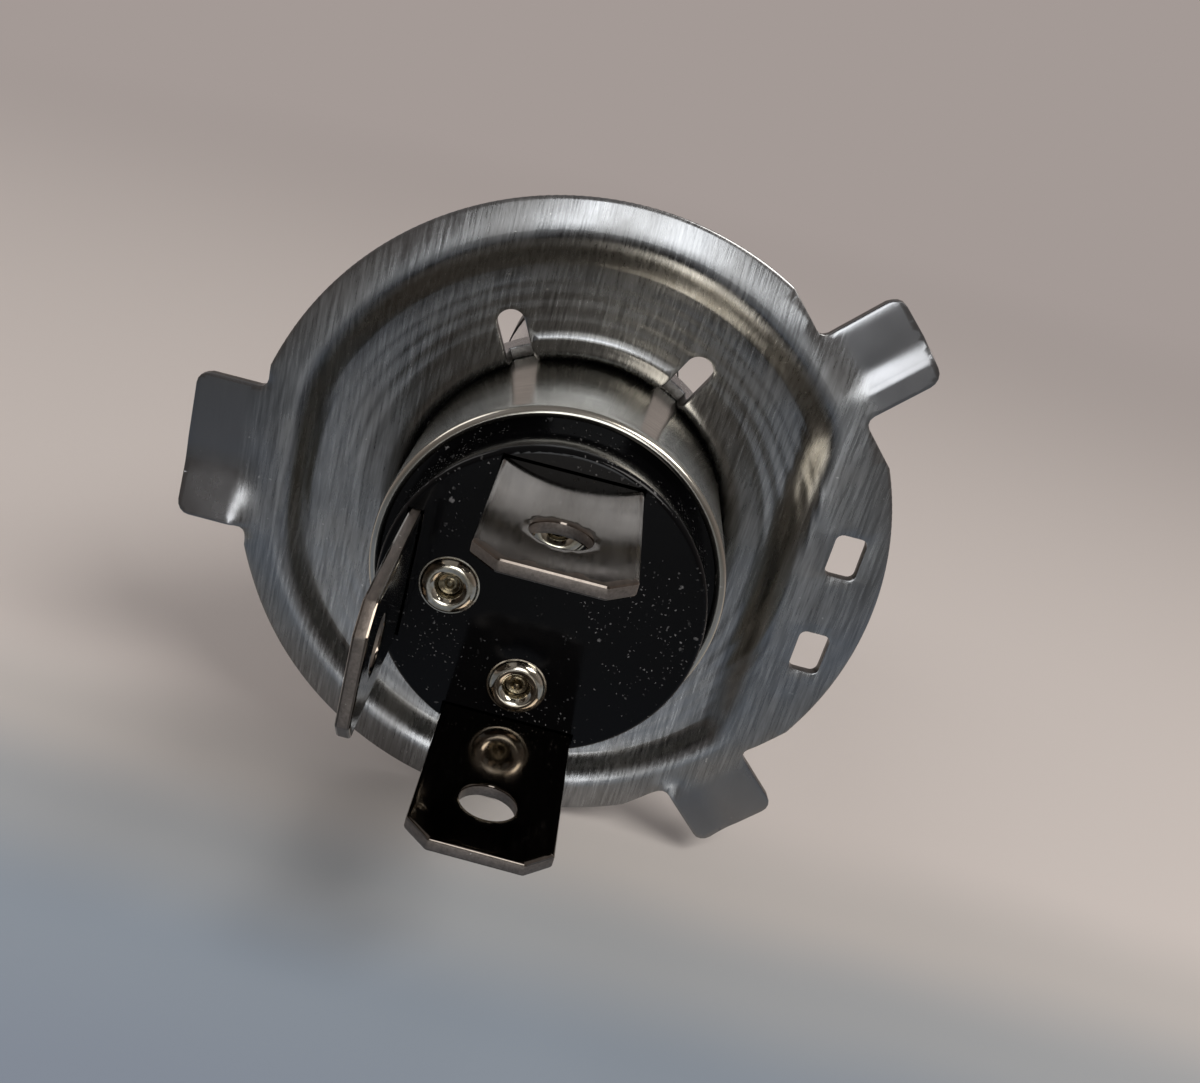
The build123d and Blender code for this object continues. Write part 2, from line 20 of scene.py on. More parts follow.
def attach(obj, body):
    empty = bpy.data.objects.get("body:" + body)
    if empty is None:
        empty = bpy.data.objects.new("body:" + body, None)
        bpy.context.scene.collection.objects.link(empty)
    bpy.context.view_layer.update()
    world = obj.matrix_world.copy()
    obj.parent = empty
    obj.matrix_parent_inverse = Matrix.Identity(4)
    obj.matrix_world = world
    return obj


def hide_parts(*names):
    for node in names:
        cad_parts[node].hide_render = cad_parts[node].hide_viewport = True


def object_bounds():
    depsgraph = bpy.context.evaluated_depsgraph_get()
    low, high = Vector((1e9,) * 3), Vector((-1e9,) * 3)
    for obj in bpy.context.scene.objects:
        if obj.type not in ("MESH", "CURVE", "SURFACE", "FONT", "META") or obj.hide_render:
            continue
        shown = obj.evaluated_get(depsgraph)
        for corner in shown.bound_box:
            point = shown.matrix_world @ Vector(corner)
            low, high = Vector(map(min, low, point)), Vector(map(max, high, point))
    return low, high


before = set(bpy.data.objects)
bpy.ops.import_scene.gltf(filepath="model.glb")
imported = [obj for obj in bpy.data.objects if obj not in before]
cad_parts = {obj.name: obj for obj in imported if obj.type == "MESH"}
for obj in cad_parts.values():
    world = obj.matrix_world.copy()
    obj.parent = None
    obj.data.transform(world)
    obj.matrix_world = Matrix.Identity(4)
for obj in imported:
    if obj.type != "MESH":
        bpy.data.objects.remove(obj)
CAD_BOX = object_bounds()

LOG = logging.getLogger("headlight_bulb")
MM = 0.001
BODY = "root"

Form = Callable[[np.ndarray, np.ndarray], np.ndarray]
Faces = list[tuple[int, ...]]
Shade = bpy.types.NodeSocket | tuple[float, float, float, float]


# ---- Colour and nodes -----------------------------------------------------------------
def linear(hex_colour: str) -> tuple[float, float, float, float]:
    """Turns an sRGB hex colour to linear RGBA.

    Args:
        hex_colour: The colour, such as "#8F8C88".

    Returns:
        Red, green, blue and alpha, each from 0 to 1.
    """
    channels = [int(hex_colour[i : i + 2], 16) / 255 for i in (1, 3, 5)]
    curved = [c / 12.92 if c <= 0.04045 else ((c + 0.055) / 1.055) ** 2.4 for c in channels]
    return (curved[0], curved[1], curved[2], 1.0)


def add_node(
    tree: bpy.types.NodeTree, kind: str, inputs: dict | None = None, **settings: object
) -> bpy.types.Node:
    """Adds a node with its settings, and sets or links its inputs.

    Args:
        tree: The node tree that the node joins.
        kind: The node's type without its ShaderNode prefix.
        inputs: A value or an output socket for each input, by name or by number.
        settings: The node's own properties.

    Returns:
        The new node.
    """
    node = tree.nodes.new(f"ShaderNode{kind}")
    for name, value in settings.items():
        setattr(node, name, value)
    for key, value in (inputs or {}).items():
        if isinstance(value, bpy.types.NodeSocket):
            tree.links.new(value, node.inputs[key])
        else:
            node.inputs[key].default_value = value
    return node


def per_mm(spacing: float) -> float:
    """Gives the pattern scale, per metre, that repeats once in that many millimetres."""
    return 1 / (spacing * MM)


class GrainRun(Enum):
    """How a metal's working marks run on a piece."""

    ALONG = "along the row axes"
    ROUND = "round the bulb's axis"


# Inputs and output of the Mix node in its colour form, and then in its number form.
FACTOR, MIX_A, MIX_B = 0, 6, 7
MIX_RESULT = 2
NUMBER_A, NUMBER_B = 2, 3
NUMBER_RESULT = 0


@dataclass(frozen=True)
class Surface:
    """A material in the making.

    Attributes:
        material: The material.
        tree: Its nodes.
        place: The place in the row frame, from which every pattern is worked out.
    """

    material: bpy.types.Material
    tree: bpy.types.NodeTree
    place: bpy.types.NodeSocket

    @classmethod
    def bare(cls, name: str) -> "Surface":
        """Starts a material that has no nodes but the place."""
        material = bpy.data.materials.new(name)
        material.use_nodes = True
        tree = material.node_tree
        tree.nodes.clear()
        return cls(material, tree, add_node(tree, "TexCoord").outputs["Object"])

    def shaded(self, inputs: dict) -> bpy.types.Material:
        """Ends the material with one Principled shader that has these inputs."""
        shader = add_node(self.tree, "BsdfPrincipled", inputs)
        add_node(self.tree, "OutputMaterial", {"Surface": shader.outputs["BSDF"]})
        return self.material


@dataclass(frozen=True)
class StepShade:
    """Painted shade in the ring's step: a brown band that darkens the step's wall and valley.

    Attributes:
        radius: Radius of the step's upper edge.
        chord: Distance of its straight run towards +X.
        straight: Distance of its straight run towards -X.
        near: Where the painted shade starts and is full, inwards from the edge.
        far: Where it thins and ends.
        colour: Its colour.
        share: How strongly it shows, from 0 to 1.
        corner_blend: Rounding where the straight runs meet the round ones.
    """

    radius: float
    chord: float
    straight: float
    near: tuple[float, float] = (0.1, 0.5)
    far: tuple[float, float] = (1.2, 1.9)
    colour: str = "#4C4536"
    share: float = 0.45
    corner_blend: float = 0.9

    def mask(self, tree: bpy.types.NodeTree, place: bpy.types.NodeSocket) -> bpy.types.NodeSocket:
        """Gives how strongly the painted step shade shows at each place.

        Args:
            tree: The material's nodes.
            place: The place in the row frame.

        Returns:
            A value output.
        """
        x = add_node(tree, "SeparateXYZ", {"Vector": place}).outputs["X"]
        radius = axis_distance(tree, place)
        gaps = [
            add_node(tree, "Math", {0: self.radius * MM, 1: radius}, operation="SUBTRACT"),
            add_node(tree, "Math", {0: self.chord * MM, 1: x}, operation="SUBTRACT"),
            add_node(tree, "Math", {0: self.straight * MM, 1: x}, operation="ADD"),
        ]
        least = gaps[0].outputs["Value"]
        for gap in gaps[1:]:
            blended = {0: least, 1: gap.outputs["Value"], 2: self.corner_blend * MM}
            least = add_node(tree, "Math", blended, operation="SMOOTH_MIN").outputs["Value"]
        rise, fall = (
            add_node(
                tree,
                "MapRange",
                {"Value": least, "From Min": ends[0] * MM, "From Max": ends[1] * MM},
                interpolation_type="SMOOTHSTEP",
            ).outputs["Result"]
            for ends in (self.near, self.far)
        )
        left = add_node(tree, "Math", {0: rise, 1: fall}, operation="SUBTRACT").outputs["Value"]
        return add_node(
            tree, "Math", {0: left, 1: self.share}, operation="MULTIPLY"
        ).outputs["Value"]


def axis_distance(tree: bpy.types.NodeTree, place: bpy.types.NodeSocket) -> bpy.types.NodeSocket:
    """Gives the distance of each place from the bulb's axis, in metres."""
    flat = add_node(tree, "VectorMath", {0: place, 1: (1, 0, 1)}, operation="MULTIPLY")
    return add_node(
        tree, "VectorMath", {0: flat.outputs["Vector"]}, operation="LENGTH"
    ).outputs["Value"]


def patches(
    tree: bpy.types.NodeTree,
    place: bpy.types.NodeSocket,
    size: float,
    detail: float,
    edge: tuple[float, float],
) -> bpy.types.NodeSocket:
    """Scatters soft-edged patches over a surface.

    Args:
        tree: The material's nodes.
        place: The place in the row frame.
        size: Size of one patch in millimetres.
        detail: How ragged the patches are.
        edge: Noise levels at which a patch starts and is full.

    Returns:
        A value output from 0 to 1.
    """
    noise = add_node(tree, "TexNoise", {"Vector": place, "Scale": per_mm(size), "Detail": detail})
    levels = {"Value": noise.outputs["Fac"], "From Min": edge[0], "From Max": edge[1]}
    return add_node(tree, "MapRange", levels, clamp=True).outputs["Result"]


# Where metal is ironed: how strong the grain's contrast and relief stay, how far the colour
# moves to the polished one, how much of the roughness is left and half the width of the edge.
IRONED_CONTRAST = 0.45
GRAIN_LEFT = 0.15
IRONED_SHARE = 0.5
IRONED_ROUGHNESS = 0.8
IRONED_BLEND = 0.6
# Radius at which marks that run round the bulb keep their stated length.
ROUND_RADIUS = 10.0
# Noise levels between which grain goes from hollow to crest, and handling stain and nicks from none to
# full.
GRAIN_SPAN = (0.3, 0.7)
FILM_EDGE = (0.42, 0.68)
NICK_EDGE = (0.76, 0.82)
LEAST_ROUGHNESS = 0.02


@dataclass(frozen=True)
class Metal:
    """A worked metal surface.

    Attributes:
        name: The metal and its process.
        dark: Colour in the hollows of the grain.
        light: Colour on the grain's crests.
        stain: Colour of the smear that handling leaves.
        roughness: Mean roughness.
        roughness_swing: How far grain and handling stain move the roughness.
        grain: Size of one working mark along X, Y and Z, or along the round, the axis and
            the radius where the marks run round.
        grain_depth: Height of the marks.
        run: How the marks run.
        stain_patch: Size of a patch of handling stain.
        stain_share: How strongly the handling stain shows, from 0 to 1.
        pit: Size of a nick or speck.
        wave: Size of the surface's gentle unevenness.
        wave_depth: Height of that unevenness.
        specks: How strongly nicks and dust show, from 0 to 1.
        nick: Colour of the bare metal in a nick.
        polished_beyond: Radius from the bulb's axis beyond which the grain is ironed out.
        polished: Colour of the ironed metal.
        film_and_step_shade: Painted shade in a hollow: a brown band down the ring's step.
    """

    name: str
    dark: str
    light: str
    stain: str
    roughness: float
    roughness_swing: float
    grain: tuple[float, float, float]
    grain_depth: float
    run: GrainRun = GrainRun.ALONG
    stain_patch: float = 6.0
    stain_share: float = 0.3
    pit: float = 0.35
    wave: float = 4.0
    wave_depth: float = 0.01
    specks: float = 0.5
    nick: str = "#E8E6E2"
    polished_beyond: float | None = None
    polished: str = "#77777A"
    film_and_step_shade: StepShade | None = None

    def build(self) -> bpy.types.Material:
        """Makes the material.

        Returns:
            A node material whose colour, roughness and relief follow the same grain.
        """
        surface = Surface.bare(self.name)
        tree, place = surface.tree, surface.place
        kept = self._grain_kept(tree, place)
        grain = self._grain(tree, place)
        contrast = self._contrast(tree, grain, kept)
        film_and_step_shade = patches(tree, place, self.stain_patch, 5.0, FILM_EDGE)
        return surface.shaded(
            {
                "Base Color": self._colour(surface, contrast, film_and_step_shade, kept),
                "Metallic": 1.0,
                "Roughness": self._roughness(tree, contrast, film_and_step_shade, kept),
                "Normal": self._relief(surface, grain, kept),
            }
        )

    def _grain(self, tree: bpy.types.NodeTree, place: bpy.types.NodeSocket) -> bpy.types.NodeSocket:
        """Stretches noise into the working marks.

        Args:
            tree: The material's nodes.
            place: The place in the row frame.

        Returns:
            A value output, from 0 in the hollows to 1 on the crests.
        """
        along = self._round_place(tree, place) if self.run is GrainRun.ROUND else place
        scale = tuple(per_mm(size) for size in self.grain)
        stretched = add_node(tree, "Mapping", {"Vector": along, "Scale": scale}).outputs["Vector"]
        return add_node(
            tree, "TexNoise", {"Vector": stretched, "Scale": 1.0, "Detail": 4.0, "Roughness": 0.65}
        ).outputs["Fac"]

    @staticmethod
    def _contrast(
        tree: bpy.types.NodeTree, grain: bpy.types.NodeSocket, kept: bpy.types.NodeSocket
    ) -> bpy.types.NodeSocket:
        """Sharpens the grain, and evens it out where the metal is ironed.

        Args:
            tree: The material's nodes.
            grain: The working marks.
            kept: How much of them is left.

        Returns:
            A value output from 0 to 1.
        """
        sharpened = add_node(
            tree,
            "MapRange",
            {"Value": grain, "From Min": GRAIN_SPAN[0], "From Max": GRAIN_SPAN[1]},
            clamp=True,
        ).outputs["Result"]
        return add_node(
            tree,
            "Mix",
            {FACTOR: kept, NUMBER_A: IRONED_CONTRAST, NUMBER_B: sharpened},
            data_type="FLOAT",
        ).outputs[NUMBER_RESULT]

    def _colour(
        self,
        surface: Surface,
        contrast: bpy.types.NodeSocket,
        film_and_step_shade: bpy.types.NodeSocket,
        kept: bpy.types.NodeSocket,
    ) -> bpy.types.NodeSocket:
        """Lays grain, handling stain, nicks, ironing and painted step shade over each other.

        Args:
            surface: The material in the making.
            contrast: The sharpened grain.
            film_and_step_shade: Where the handling stain lies.
            kept: How much of the grain is left.

        Returns:
            A colour output.
        """
        tree, place = surface.tree, surface.place
        film_share = add_node(
            tree, "Math", {0: film_and_step_shade, 1: self.stain_share}, operation="MULTIPLY"
        ).outputs["Value"]
        nick_share = add_node(
            tree,
            "Math",
            {0: patches(tree, place, self.pit, 1.0, NICK_EDGE), 1: self.specks},
            operation="MULTIPLY",
        ).outputs["Value"]
        ironed = add_node(
            tree,
            "MapRange",
            {"Value": kept, "From Min": 1.0, "From Max": GRAIN_LEFT, "To Max": IRONED_SHARE},
        ).outputs["Result"]
        layers = [
            (contrast, self.light),
            (film_share, self.stain),
            (nick_share, self.nick),
            (ironed, self.polished),
        ]
        # Painted shade: a brown band down the ring's step, for metals that have one.
        if self.film_and_step_shade:
            layers.append((self.film_and_step_shade.mask(tree, place), self.film_and_step_shade.colour))
        colour: Shade = linear(self.dark)
        for share, shade in layers:
            layer = {FACTOR: share, MIX_A: colour, MIX_B: linear(shade)}
            colour = add_node(tree, "Mix", layer, data_type="RGBA").outputs[MIX_RESULT]
        return colour

    def _roughness(
        self,
        tree: bpy.types.NodeTree,
        contrast: bpy.types.NodeSocket,
        film_and_step_shade: bpy.types.NodeSocket,
        kept: bpy.types.NodeSocket,
    ) -> bpy.types.NodeSocket:
        """Makes the crests and the handling stain rougher, and ironed metal smoother.

        Args:
            tree: The material's nodes.
            contrast: The sharpened grain.
            film_and_step_shade: Where the handling stain lies.
            kept: How much of the grain is left.

        Returns:
            A value output.
        """
        both = add_node(tree, "Math", {0: contrast, 1: film_and_step_shade}, operation="ADD").outputs["Value"]
        worked = add_node(
            tree,
            "MapRange",
            {
                "Value": both,
                "From Min": 0.0,
                "From Max": 2.0,
                "To Min": max(LEAST_ROUGHNESS, self.roughness - self.roughness_swing),
                "To Max": self.roughness + self.roughness_swing,
            },
        ).outputs["Result"]
        smoothed = add_node(
            tree, "Math", {0: worked, 1: IRONED_ROUGHNESS}, operation="MULTIPLY"
        ).outputs["Value"]
        return add_node(
            tree, "Mix", {FACTOR: kept, NUMBER_A: smoothed, NUMBER_B: worked}, data_type="FLOAT"
        ).outputs[NUMBER_RESULT]

    def _relief(
        self, surface: Surface, grain: bpy.types.NodeSocket, kept: bpy.types.NodeSocket
    ) -> bpy.types.NodeSocket:
        """Raises the sheet's gentle waves and the working marks on them.

        Args:
            surface: The material in the making.
            grain: The working marks.
            kept: How much of them is left.

        Returns:
            A normal output.
        """
        tree = surface.tree
        waves = add_node(
            tree, "TexNoise", {"Vector": surface.place, "Scale": per_mm(self.wave), "Detail": 1.0}
        ).outputs["Fac"]
        relief = add_node(
            tree, "Bump", {"Height": waves, "Strength": 1.0, "Distance": self.wave_depth * MM}
        ).outputs["Normal"]
        marks = {
            "Height": grain,
            "Strength": kept,
            "Distance": self.grain_depth * MM,
            "Normal": relief,
        }
        return add_node(tree, "Bump", marks).outputs["Normal"]

    def _grain_kept(
        self, tree: bpy.types.NodeTree, place: bpy.types.NodeSocket
    ) -> bpy.types.NodeSocket:
        """Gives how much of the grain each place keeps, from 0 to 1.

        Args:
            tree: The material's nodes.
            place: The place in the row frame.

        Returns:
            A value output: 1 everywhere unless the metal is polished beyond a radius.
        """
        if self.polished_beyond is None:
            whole = add_node(tree, "Value").outputs["Value"]
            whole.default_value = 1.0
            return whole
        radius = axis_distance(tree, place)
        edge = self.polished_beyond
        return add_node(
            tree,
            "MapRange",
            {
                "Value": radius,
                "From Min": (edge - IRONED_BLEND) * MM,
                "From Max": (edge + IRONED_BLEND) * MM,
                "To Min": 1.0,
                "To Max": GRAIN_LEFT,
            },
            interpolation_type="SMOOTHSTEP",
        ).outputs["Result"]

    @staticmethod
    def _round_place(tree: bpy.types.NodeTree, place: bpy.types.NodeSocket) -> bpy.types.NodeSocket:
        """Gives the place as the way round, the way along the axis and the radius.

        Args:
            tree: The material's nodes.
            place: The place in the row frame.

        Returns:
            A vector output with the three measures in metres.
        """
        parts = add_node(tree, "SeparateXYZ", {"Vector": place})
        x, y, z = (parts.outputs[axis] for axis in "XYZ")
        angle = add_node(tree, "Math", {0: z, 1: x}, operation="ARCTAN2").outputs["Value"]
        radius = axis_distance(tree, place)
        way = {0: angle, 1: ROUND_RADIUS * MM}
        turn = add_node(tree, "Math", way, operation="MULTIPLY").outputs["Value"]
        return add_node(tree, "CombineXYZ", {"X": turn, "Y": y, "Z": radius}).outputs["Vector"]


@dataclass(frozen=True)
class MouldedPhenolic:
    """Black compression-moulded phenolic: a deep gloss with dust lying on it.

    Attributes:
        name: The material and its process.
        colour: Its own colour.
        dust: Colour of the dust.
        roughness: Roughness between the dust.
        dust_roughness: Roughness of the dust.
        gloss: Specular level.
        fleck: Spacing of the larger flecks of dust.
        fleck_share: Radius of a fleck as a share of that spacing.
        speck: Spacing of the smaller ones.
        speck_share: Radius of a speck as a share of that spacing.
        patch: Size of an area that holds more dust.
        wave: Size of the mould's ripple.
        wave_depth: Height of that ripple.
        dust_depth: Height of the dust.
    """

    name: str = "moulded_phenolic"
    colour: str = "#050506"
    dust: str = "#6F6E6E"
    roughness: float = 0.1
    dust_roughness: float = 0.8
    gloss: float = 0.1
    fleck: float = 0.6
    fleck_share: float = 0.17
    speck: float = 0.22
    speck_share: float = 0.22
    patch: float = 5.0
    wave: float = 2.6
    wave_depth: float = 0.012
    dust_depth: float = 0.02

    def build(self) -> bpy.types.Material:
        """Makes the material.

        Returns:
            A glossy dielectric with two sizes of dust and a faint mould ripple.
        """
        surface = Surface.bare(self.name)
        tree, place = surface.tree, surface.place
        patch = add_node(
            tree, "TexNoise", {"Vector": place, "Scale": per_mm(self.patch), "Detail": 2.0}
        ).outputs["Fac"]
        layers = []
        for size, reach in ((self.fleck, self.fleck_share), (self.speck, self.speck_share)):
            warp = add_node(
                tree, "TexNoise", {"Vector": place, "Scale": per_mm(size / 2), "Detail": 1.0}
            ).outputs["Color"]
            shifted = add_node(
                tree,
                "VectorMath",
                {0: warp, 1: (size * MM * 0.8,) * 3, 2: place},
                operation="MULTIPLY_ADD",
            ).outputs["Vector"]
            cells = add_node(tree, "TexVoronoi", {"Vector": shifted, "Scale": per_mm(size)})
            pick = add_node(
                tree, "SeparateXYZ", {"Vector": cells.outputs["Color"]}
            ).outputs["X"]
            chosen = add_node(
                tree, "Math", {0: pick, 1: patch}, operation="MULTIPLY"
            ).outputs["Value"]
            chosen = add_node(
                tree, "MapRange", {"Value": chosen, "From Min": 0.4, "From Max": 0.52}, clamp=True
            ).outputs["Result"]
            near = add_node(
                tree,
                "MapRange",
                {
                    "Value": cells.outputs["Distance"],
                    "From Min": reach * 1.3,
                    "From Max": reach * 0.6,
                },
                clamp=True,
            ).outputs["Result"]
            dots = add_node(tree, "Math", {0: near, 1: chosen}, operation="MULTIPLY")
            layers.append(dots.outputs["Value"])
        total = add_node(
            tree, "Math", {0: layers[0], 1: layers[1]}, operation="MAXIMUM"
        ).outputs["Value"]
        colour = add_node(
            tree,
            "Mix",
            {FACTOR: total, MIX_A: linear(self.colour), MIX_B: linear(self.dust)},
            data_type="RGBA",
        ).outputs[MIX_RESULT]
        roughness = add_node(
            tree,
            "MapRange",
            {"Value": total, "To Min": self.roughness, "To Max": self.dust_roughness},
        ).outputs["Result"]
        ripple = add_node(
            tree, "TexNoise", {"Vector": place, "Scale": per_mm(self.wave), "Detail": 2.0}
        ).outputs["Fac"]
        relief = add_node(
            tree, "Bump", {"Height": ripple, "Strength": 1.0, "Distance": self.wave_depth * MM}
        ).outputs["Normal"]
        relief = add_node(
            tree,
            "Bump",
            {
                "Height": total,
                "Strength": 1.0,
                "Distance": self.dust_depth * MM,
                "Normal": relief,
            },
        ).outputs["Normal"]
        return surface.shaded(
            {
                "Base Color": colour,
                "Roughness": roughness,
                "Normal": relief,
                "IOR": 1.6,
                "Specular IOR Level": self.gloss,
            }
        )


@dataclass(frozen=True)
class FusedQuartz:
    """Drawn and flame-worked quartz glass: clear, with faint draw lines.

    Attributes:
        name: The material and its process.
        tint: Its slight colour.
        draw_line: Spacing of the draw lines round the tube.
        line_run: Length of one line along the tube.
        line_depth: Height of the lines.
        haze_patch: Size of a patch of faint haze.
        haze: Roughness in such a patch.
    """

    name: str = "fused_quartz"
    tint: str = "#FBFCFD"
    draw_line: float = 1.6
    line_run: float = 20.0
    line_depth: float = 0.006
    haze_patch: float = 7.0
    haze: float = 0.06

    def build(self) -> bpy.types.Material:
        """Makes the material.

        Returns:
            A clear glass that bends light as quartz does.
        """
        surface = Surface.bare(self.name)
        tree, place = surface.tree, surface.place
        scale = (per_mm(self.draw_line), per_mm(self.line_run), per_mm(self.draw_line))
        stretched = add_node(tree, "Mapping", {"Vector": place, "Scale": scale}).outputs["Vector"]
        lines = add_node(
            tree, "TexNoise", {"Vector": stretched, "Scale": 1.0, "Detail": 1.0}
        ).outputs["Fac"]
        relief = add_node(
            tree, "Bump", {"Height": lines, "Strength": 1.0, "Distance": self.line_depth * MM}
        ).outputs["Normal"]
        haze = add_node(
            tree, "TexNoise", {"Vector": place, "Scale": per_mm(self.haze_patch), "Detail": 3.0}
        ).outputs["Fac"]
        roughness = add_node(
            tree,
            "MapRange",
            {
                "Value": haze,
                "From Min": 0.5,
                "From Max": 0.75,
                "To Min": 0.0,
                "To Max": self.haze,
            },
            clamp=True,
        ).outputs["Result"]
        return surface.shaded(
            {
                "Base Color": linear(self.tint),
                "Roughness": roughness,
                "IOR": 1.458,
                "Transmission Weight": 1.0,
                "Normal": relief,
            }
        )


@dataclass(frozen=True)
class FiredCoating:
    """Dipped and fired ceramic black: dull, uneven, thinner and browner in places.

    Attributes:
        name: The material and its process.
        thick: Colour where the coat is thick.
        thin: Colour where it is thin.
        roughness: Mean roughness.
        mottle: Size of one thick or thin spot.
        peel: Size of the skin's orange peel.
        peel_depth: Height of that peel.
    """

    name: str = "fired_tip_coating"
    thick: str = "#141414"
    thin: str = "#3A332E"
    roughness: float = 0.42
    mottle: float = 1.2
    peel: float = 0.4
    peel_depth: float = 0.012

    def build(self) -> bpy.types.Material:
        """Makes the material.

        Returns:
            A mottled dull black with a fine orange-peel relief.
        """
        surface = Surface.bare(self.name)
        tree, place = surface.tree, surface.place
        mottle = add_node(
            tree, "TexNoise", {"Vector": place, "Scale": per_mm(self.mottle), "Detail": 6.0}
        ).outputs["Fac"]
        spread = add_node(
            tree, "MapRange", {"Value": mottle, "From Min": 0.45, "From Max": 0.75}, clamp=True
        ).outputs["Result"]
        colour = add_node(
            tree,
            "Mix",
            {FACTOR: spread, MIX_A: linear(self.thick), MIX_B: linear(self.thin)},
            data_type="RGBA",
        ).outputs[MIX_RESULT]
        roughness = add_node(
            tree,
            "MapRange",
            {"Value": mottle, "To Min": self.roughness - 0.12, "To Max": self.roughness + 0.15},
        ).outputs["Result"]
        peel = add_node(
            tree, "TexNoise", {"Vector": place, "Scale": per_mm(self.peel), "Detail": 2.0}
        ).outputs["Fac"]
        relief = add_node(
            tree, "Bump", {"Height": peel, "Strength": 1.0, "Distance": self.peel_depth * MM}
        ).outputs["Normal"]
        return surface.shaded({"Base Color": colour, "Roughness": roughness, "Normal": relief})


# Cold-rolled steel sheet under a thin zinc flash: upright rolling streaks and a soft shine.
RING_STEEL = Metal(
    name="rolled_zinc_flashed_steel",
    dark="#727374",
    light="#A2A3A4",
    stain="#6B6762",
    roughness=0.28,
    roughness_swing=0.12,
    grain=(0.2, 0.6, 3.2),
    grain_depth=0.008,
    stain_patch=5.0,
    stain_share=0.4,
    wave=3.0,
    wave_depth=0.012,
    polished_beyond=21.6,
    # The step carries painted shade: a brown band down its wall and valley.
    film_and_step_shade=StepShade(radius=18.9, chord=15.3, straight=18.25),
)
# Sheared edge of the ring: dull and torn, darker than the rolled face.
RING_EDGE = Metal(
    name="sheared_steel_edge",
    dark="#4E4C4A",
    light="#7A7774",
    stain="#4A443D",
    roughness=0.42,
    roughness_swing=0.1,
    grain=(0.15, 0.8, 0.15),
    grain_depth=0.01,
)
# Sheared edge of a blade: bare brass that has dulled under the plating's torn lip.
BLADE_EDGE = Metal(
    name="sheared_brass_edge",
    dark="#66605B",
    light="#857D77",
    stain="#6B5F52",
    roughness=0.58,
    roughness_swing=0.1,
    grain=(0.15, 0.8, 0.15),
    grain_depth=0.008,
)
# Deep-drawn bright steel: nearly a mirror, with fine lines round it from the die.
SLEEVE_STEEL = Metal(
    name="drawn_bright_steel",
    dark="#A29F97",
    light="#C6C3BA",
    stain="#857E70",
    roughness=0.22,
    roughness_swing=0.06,
    grain=(6.0, 0.18, 0.4),
    grain_depth=0.002,
    run=GrainRun.ROUND,
    stain_share=0.35,
    wave_depth=0.006,
)
# Nickel-plated brass strip: a warm soft mirror with rub marks.
BLADE_PLATE = Metal(
    name="nickel_plated_brass",
    dark="#635B54",
    light="#736B63",
    stain="#554D46",
    roughness=0.11,
    roughness_swing=0.05,
    grain=(0.25, 3.0, 0.25),
    grain_depth=0.0006,
    stain_patch=3.0,
    stain_share=0.35,
    wave=2.2,
    wave_depth=0.005,
)
# Tin-flashed brass eyelet: bright, with the yellow of the brass in its hollow.
EYELET_PLATE = Metal(
    name="tin_flashed_brass",
    dark="#A8A294",
    light="#CFCBC0",
    stain="#7E7154",
    roughness=0.12,
    roughness_swing=0.05,
    grain=(0.3, 0.3, 0.3),
    grain_depth=0.002,
    stain_patch=1.4,
    stain_share=0.6,
    wave=0.8,
    wave_depth=0.005,
)
# Tin solder, frozen with a wrinkled skin.
SOLDER = Metal(
    name="tin_solder",
    dark="#5E5543",
    light="#968C76",
    stain="#443A29",
    roughness=0.22,
    roughness_swing=0.12,
    grain=(0.25, 0.25, 0.25),
    grain_depth=0.03,
    stain_patch=0.9,
    stain_share=0.6,
    wave=0.6,
    wave_depth=0.03,
)
# Pressed spring steel of the glass holder, left dull from the press.
HOLDER_STEEL = Metal(
    name="pressed_spring_steel",
    dark="#76746F",
    light="#9C9A95",
    stain="#5E5953",
    roughness=0.28,
    roughness_swing=0.1,
    grain=(5.0, 0.22, 0.4),
    grain_depth=0.004,
    run=GrainRun.ROUND,
    stain_share=0.4,
)
# Blanked clip strip with rolling lines.
CLIP_STEEL = Metal(
    name="blanked_steel_strip",
    dark="#6F6D69",
    light="#96938E",
    stain="#57534D",
    roughness=0.3,
    roughness_swing=0.08,
    grain=(0.2, 1.0, 3.0),
    grain_depth=0.004,
)
# Drawn nickel wire: fine lines along it.
LEAD_WIRE = Metal(
    name="drawn_nickel_wire",
    dark="#8A867E",
    light="#B2AEA6",
    stain="#6B665E",
    roughness=0.25,
    roughness_swing=0.06,
    grain=(0.12, 2.0, 0.12),
    grain_depth=0.002,
)
# Molybdenum, heated in the seal and the shield: a grey shine, blued in patches by the heat.
MOLYBDENUM = Metal(
    name="heat_blued_molybdenum",
    dark="#77777A",
    light="#A3A3A5",
    stain="#4F5468",
    roughness=0.26,
    roughness_swing=0.1,
    grain=(0.2, 1.5, 0.2),
    grain_depth=0.003,
    stain_patch=2.0,
    stain_share=0.5,
)
# Etched molybdenum foil, crimped by the glass round it.
FOIL = Metal(
    name="etched_molybdenum_foil",
    dark="#6C6A6D",
    light="#93919A",
    stain="#544B58",
    roughness=0.35,
    roughness_swing=0.1,
    grain=(0.3, 0.3, 0.3),
    grain_depth=0.01,
)
# Recrystallised tungsten wire: dark grey with a fine sparkle.
TUNGSTEN = Metal(
    name="coiled_tungsten",
    dark="#55534F",
    light="#7D7A75",
    stain="#46423D",
    roughness=0.35,
    roughness_swing=0.08,
    grain=(0.1, 0.1, 0.1),
    grain_depth=0.004,
)
PHENOLIC = MouldedPhenolic()
QUARTZ = FusedQuartz()
TIP_BLACK = FiredCoating()

Finish = Metal | MouldedPhenolic | FusedQuartz | FiredCoating
_BUILT: dict[str, bpy.types.Material] = {}


def material_of(finish: Finish) -> bpy.types.Material:
    """Gives a finish's material, made once."""
    if finish.name not in _BUILT:
        _BUILT[finish.name] = finish.build()
    return _BUILT[finish.name]


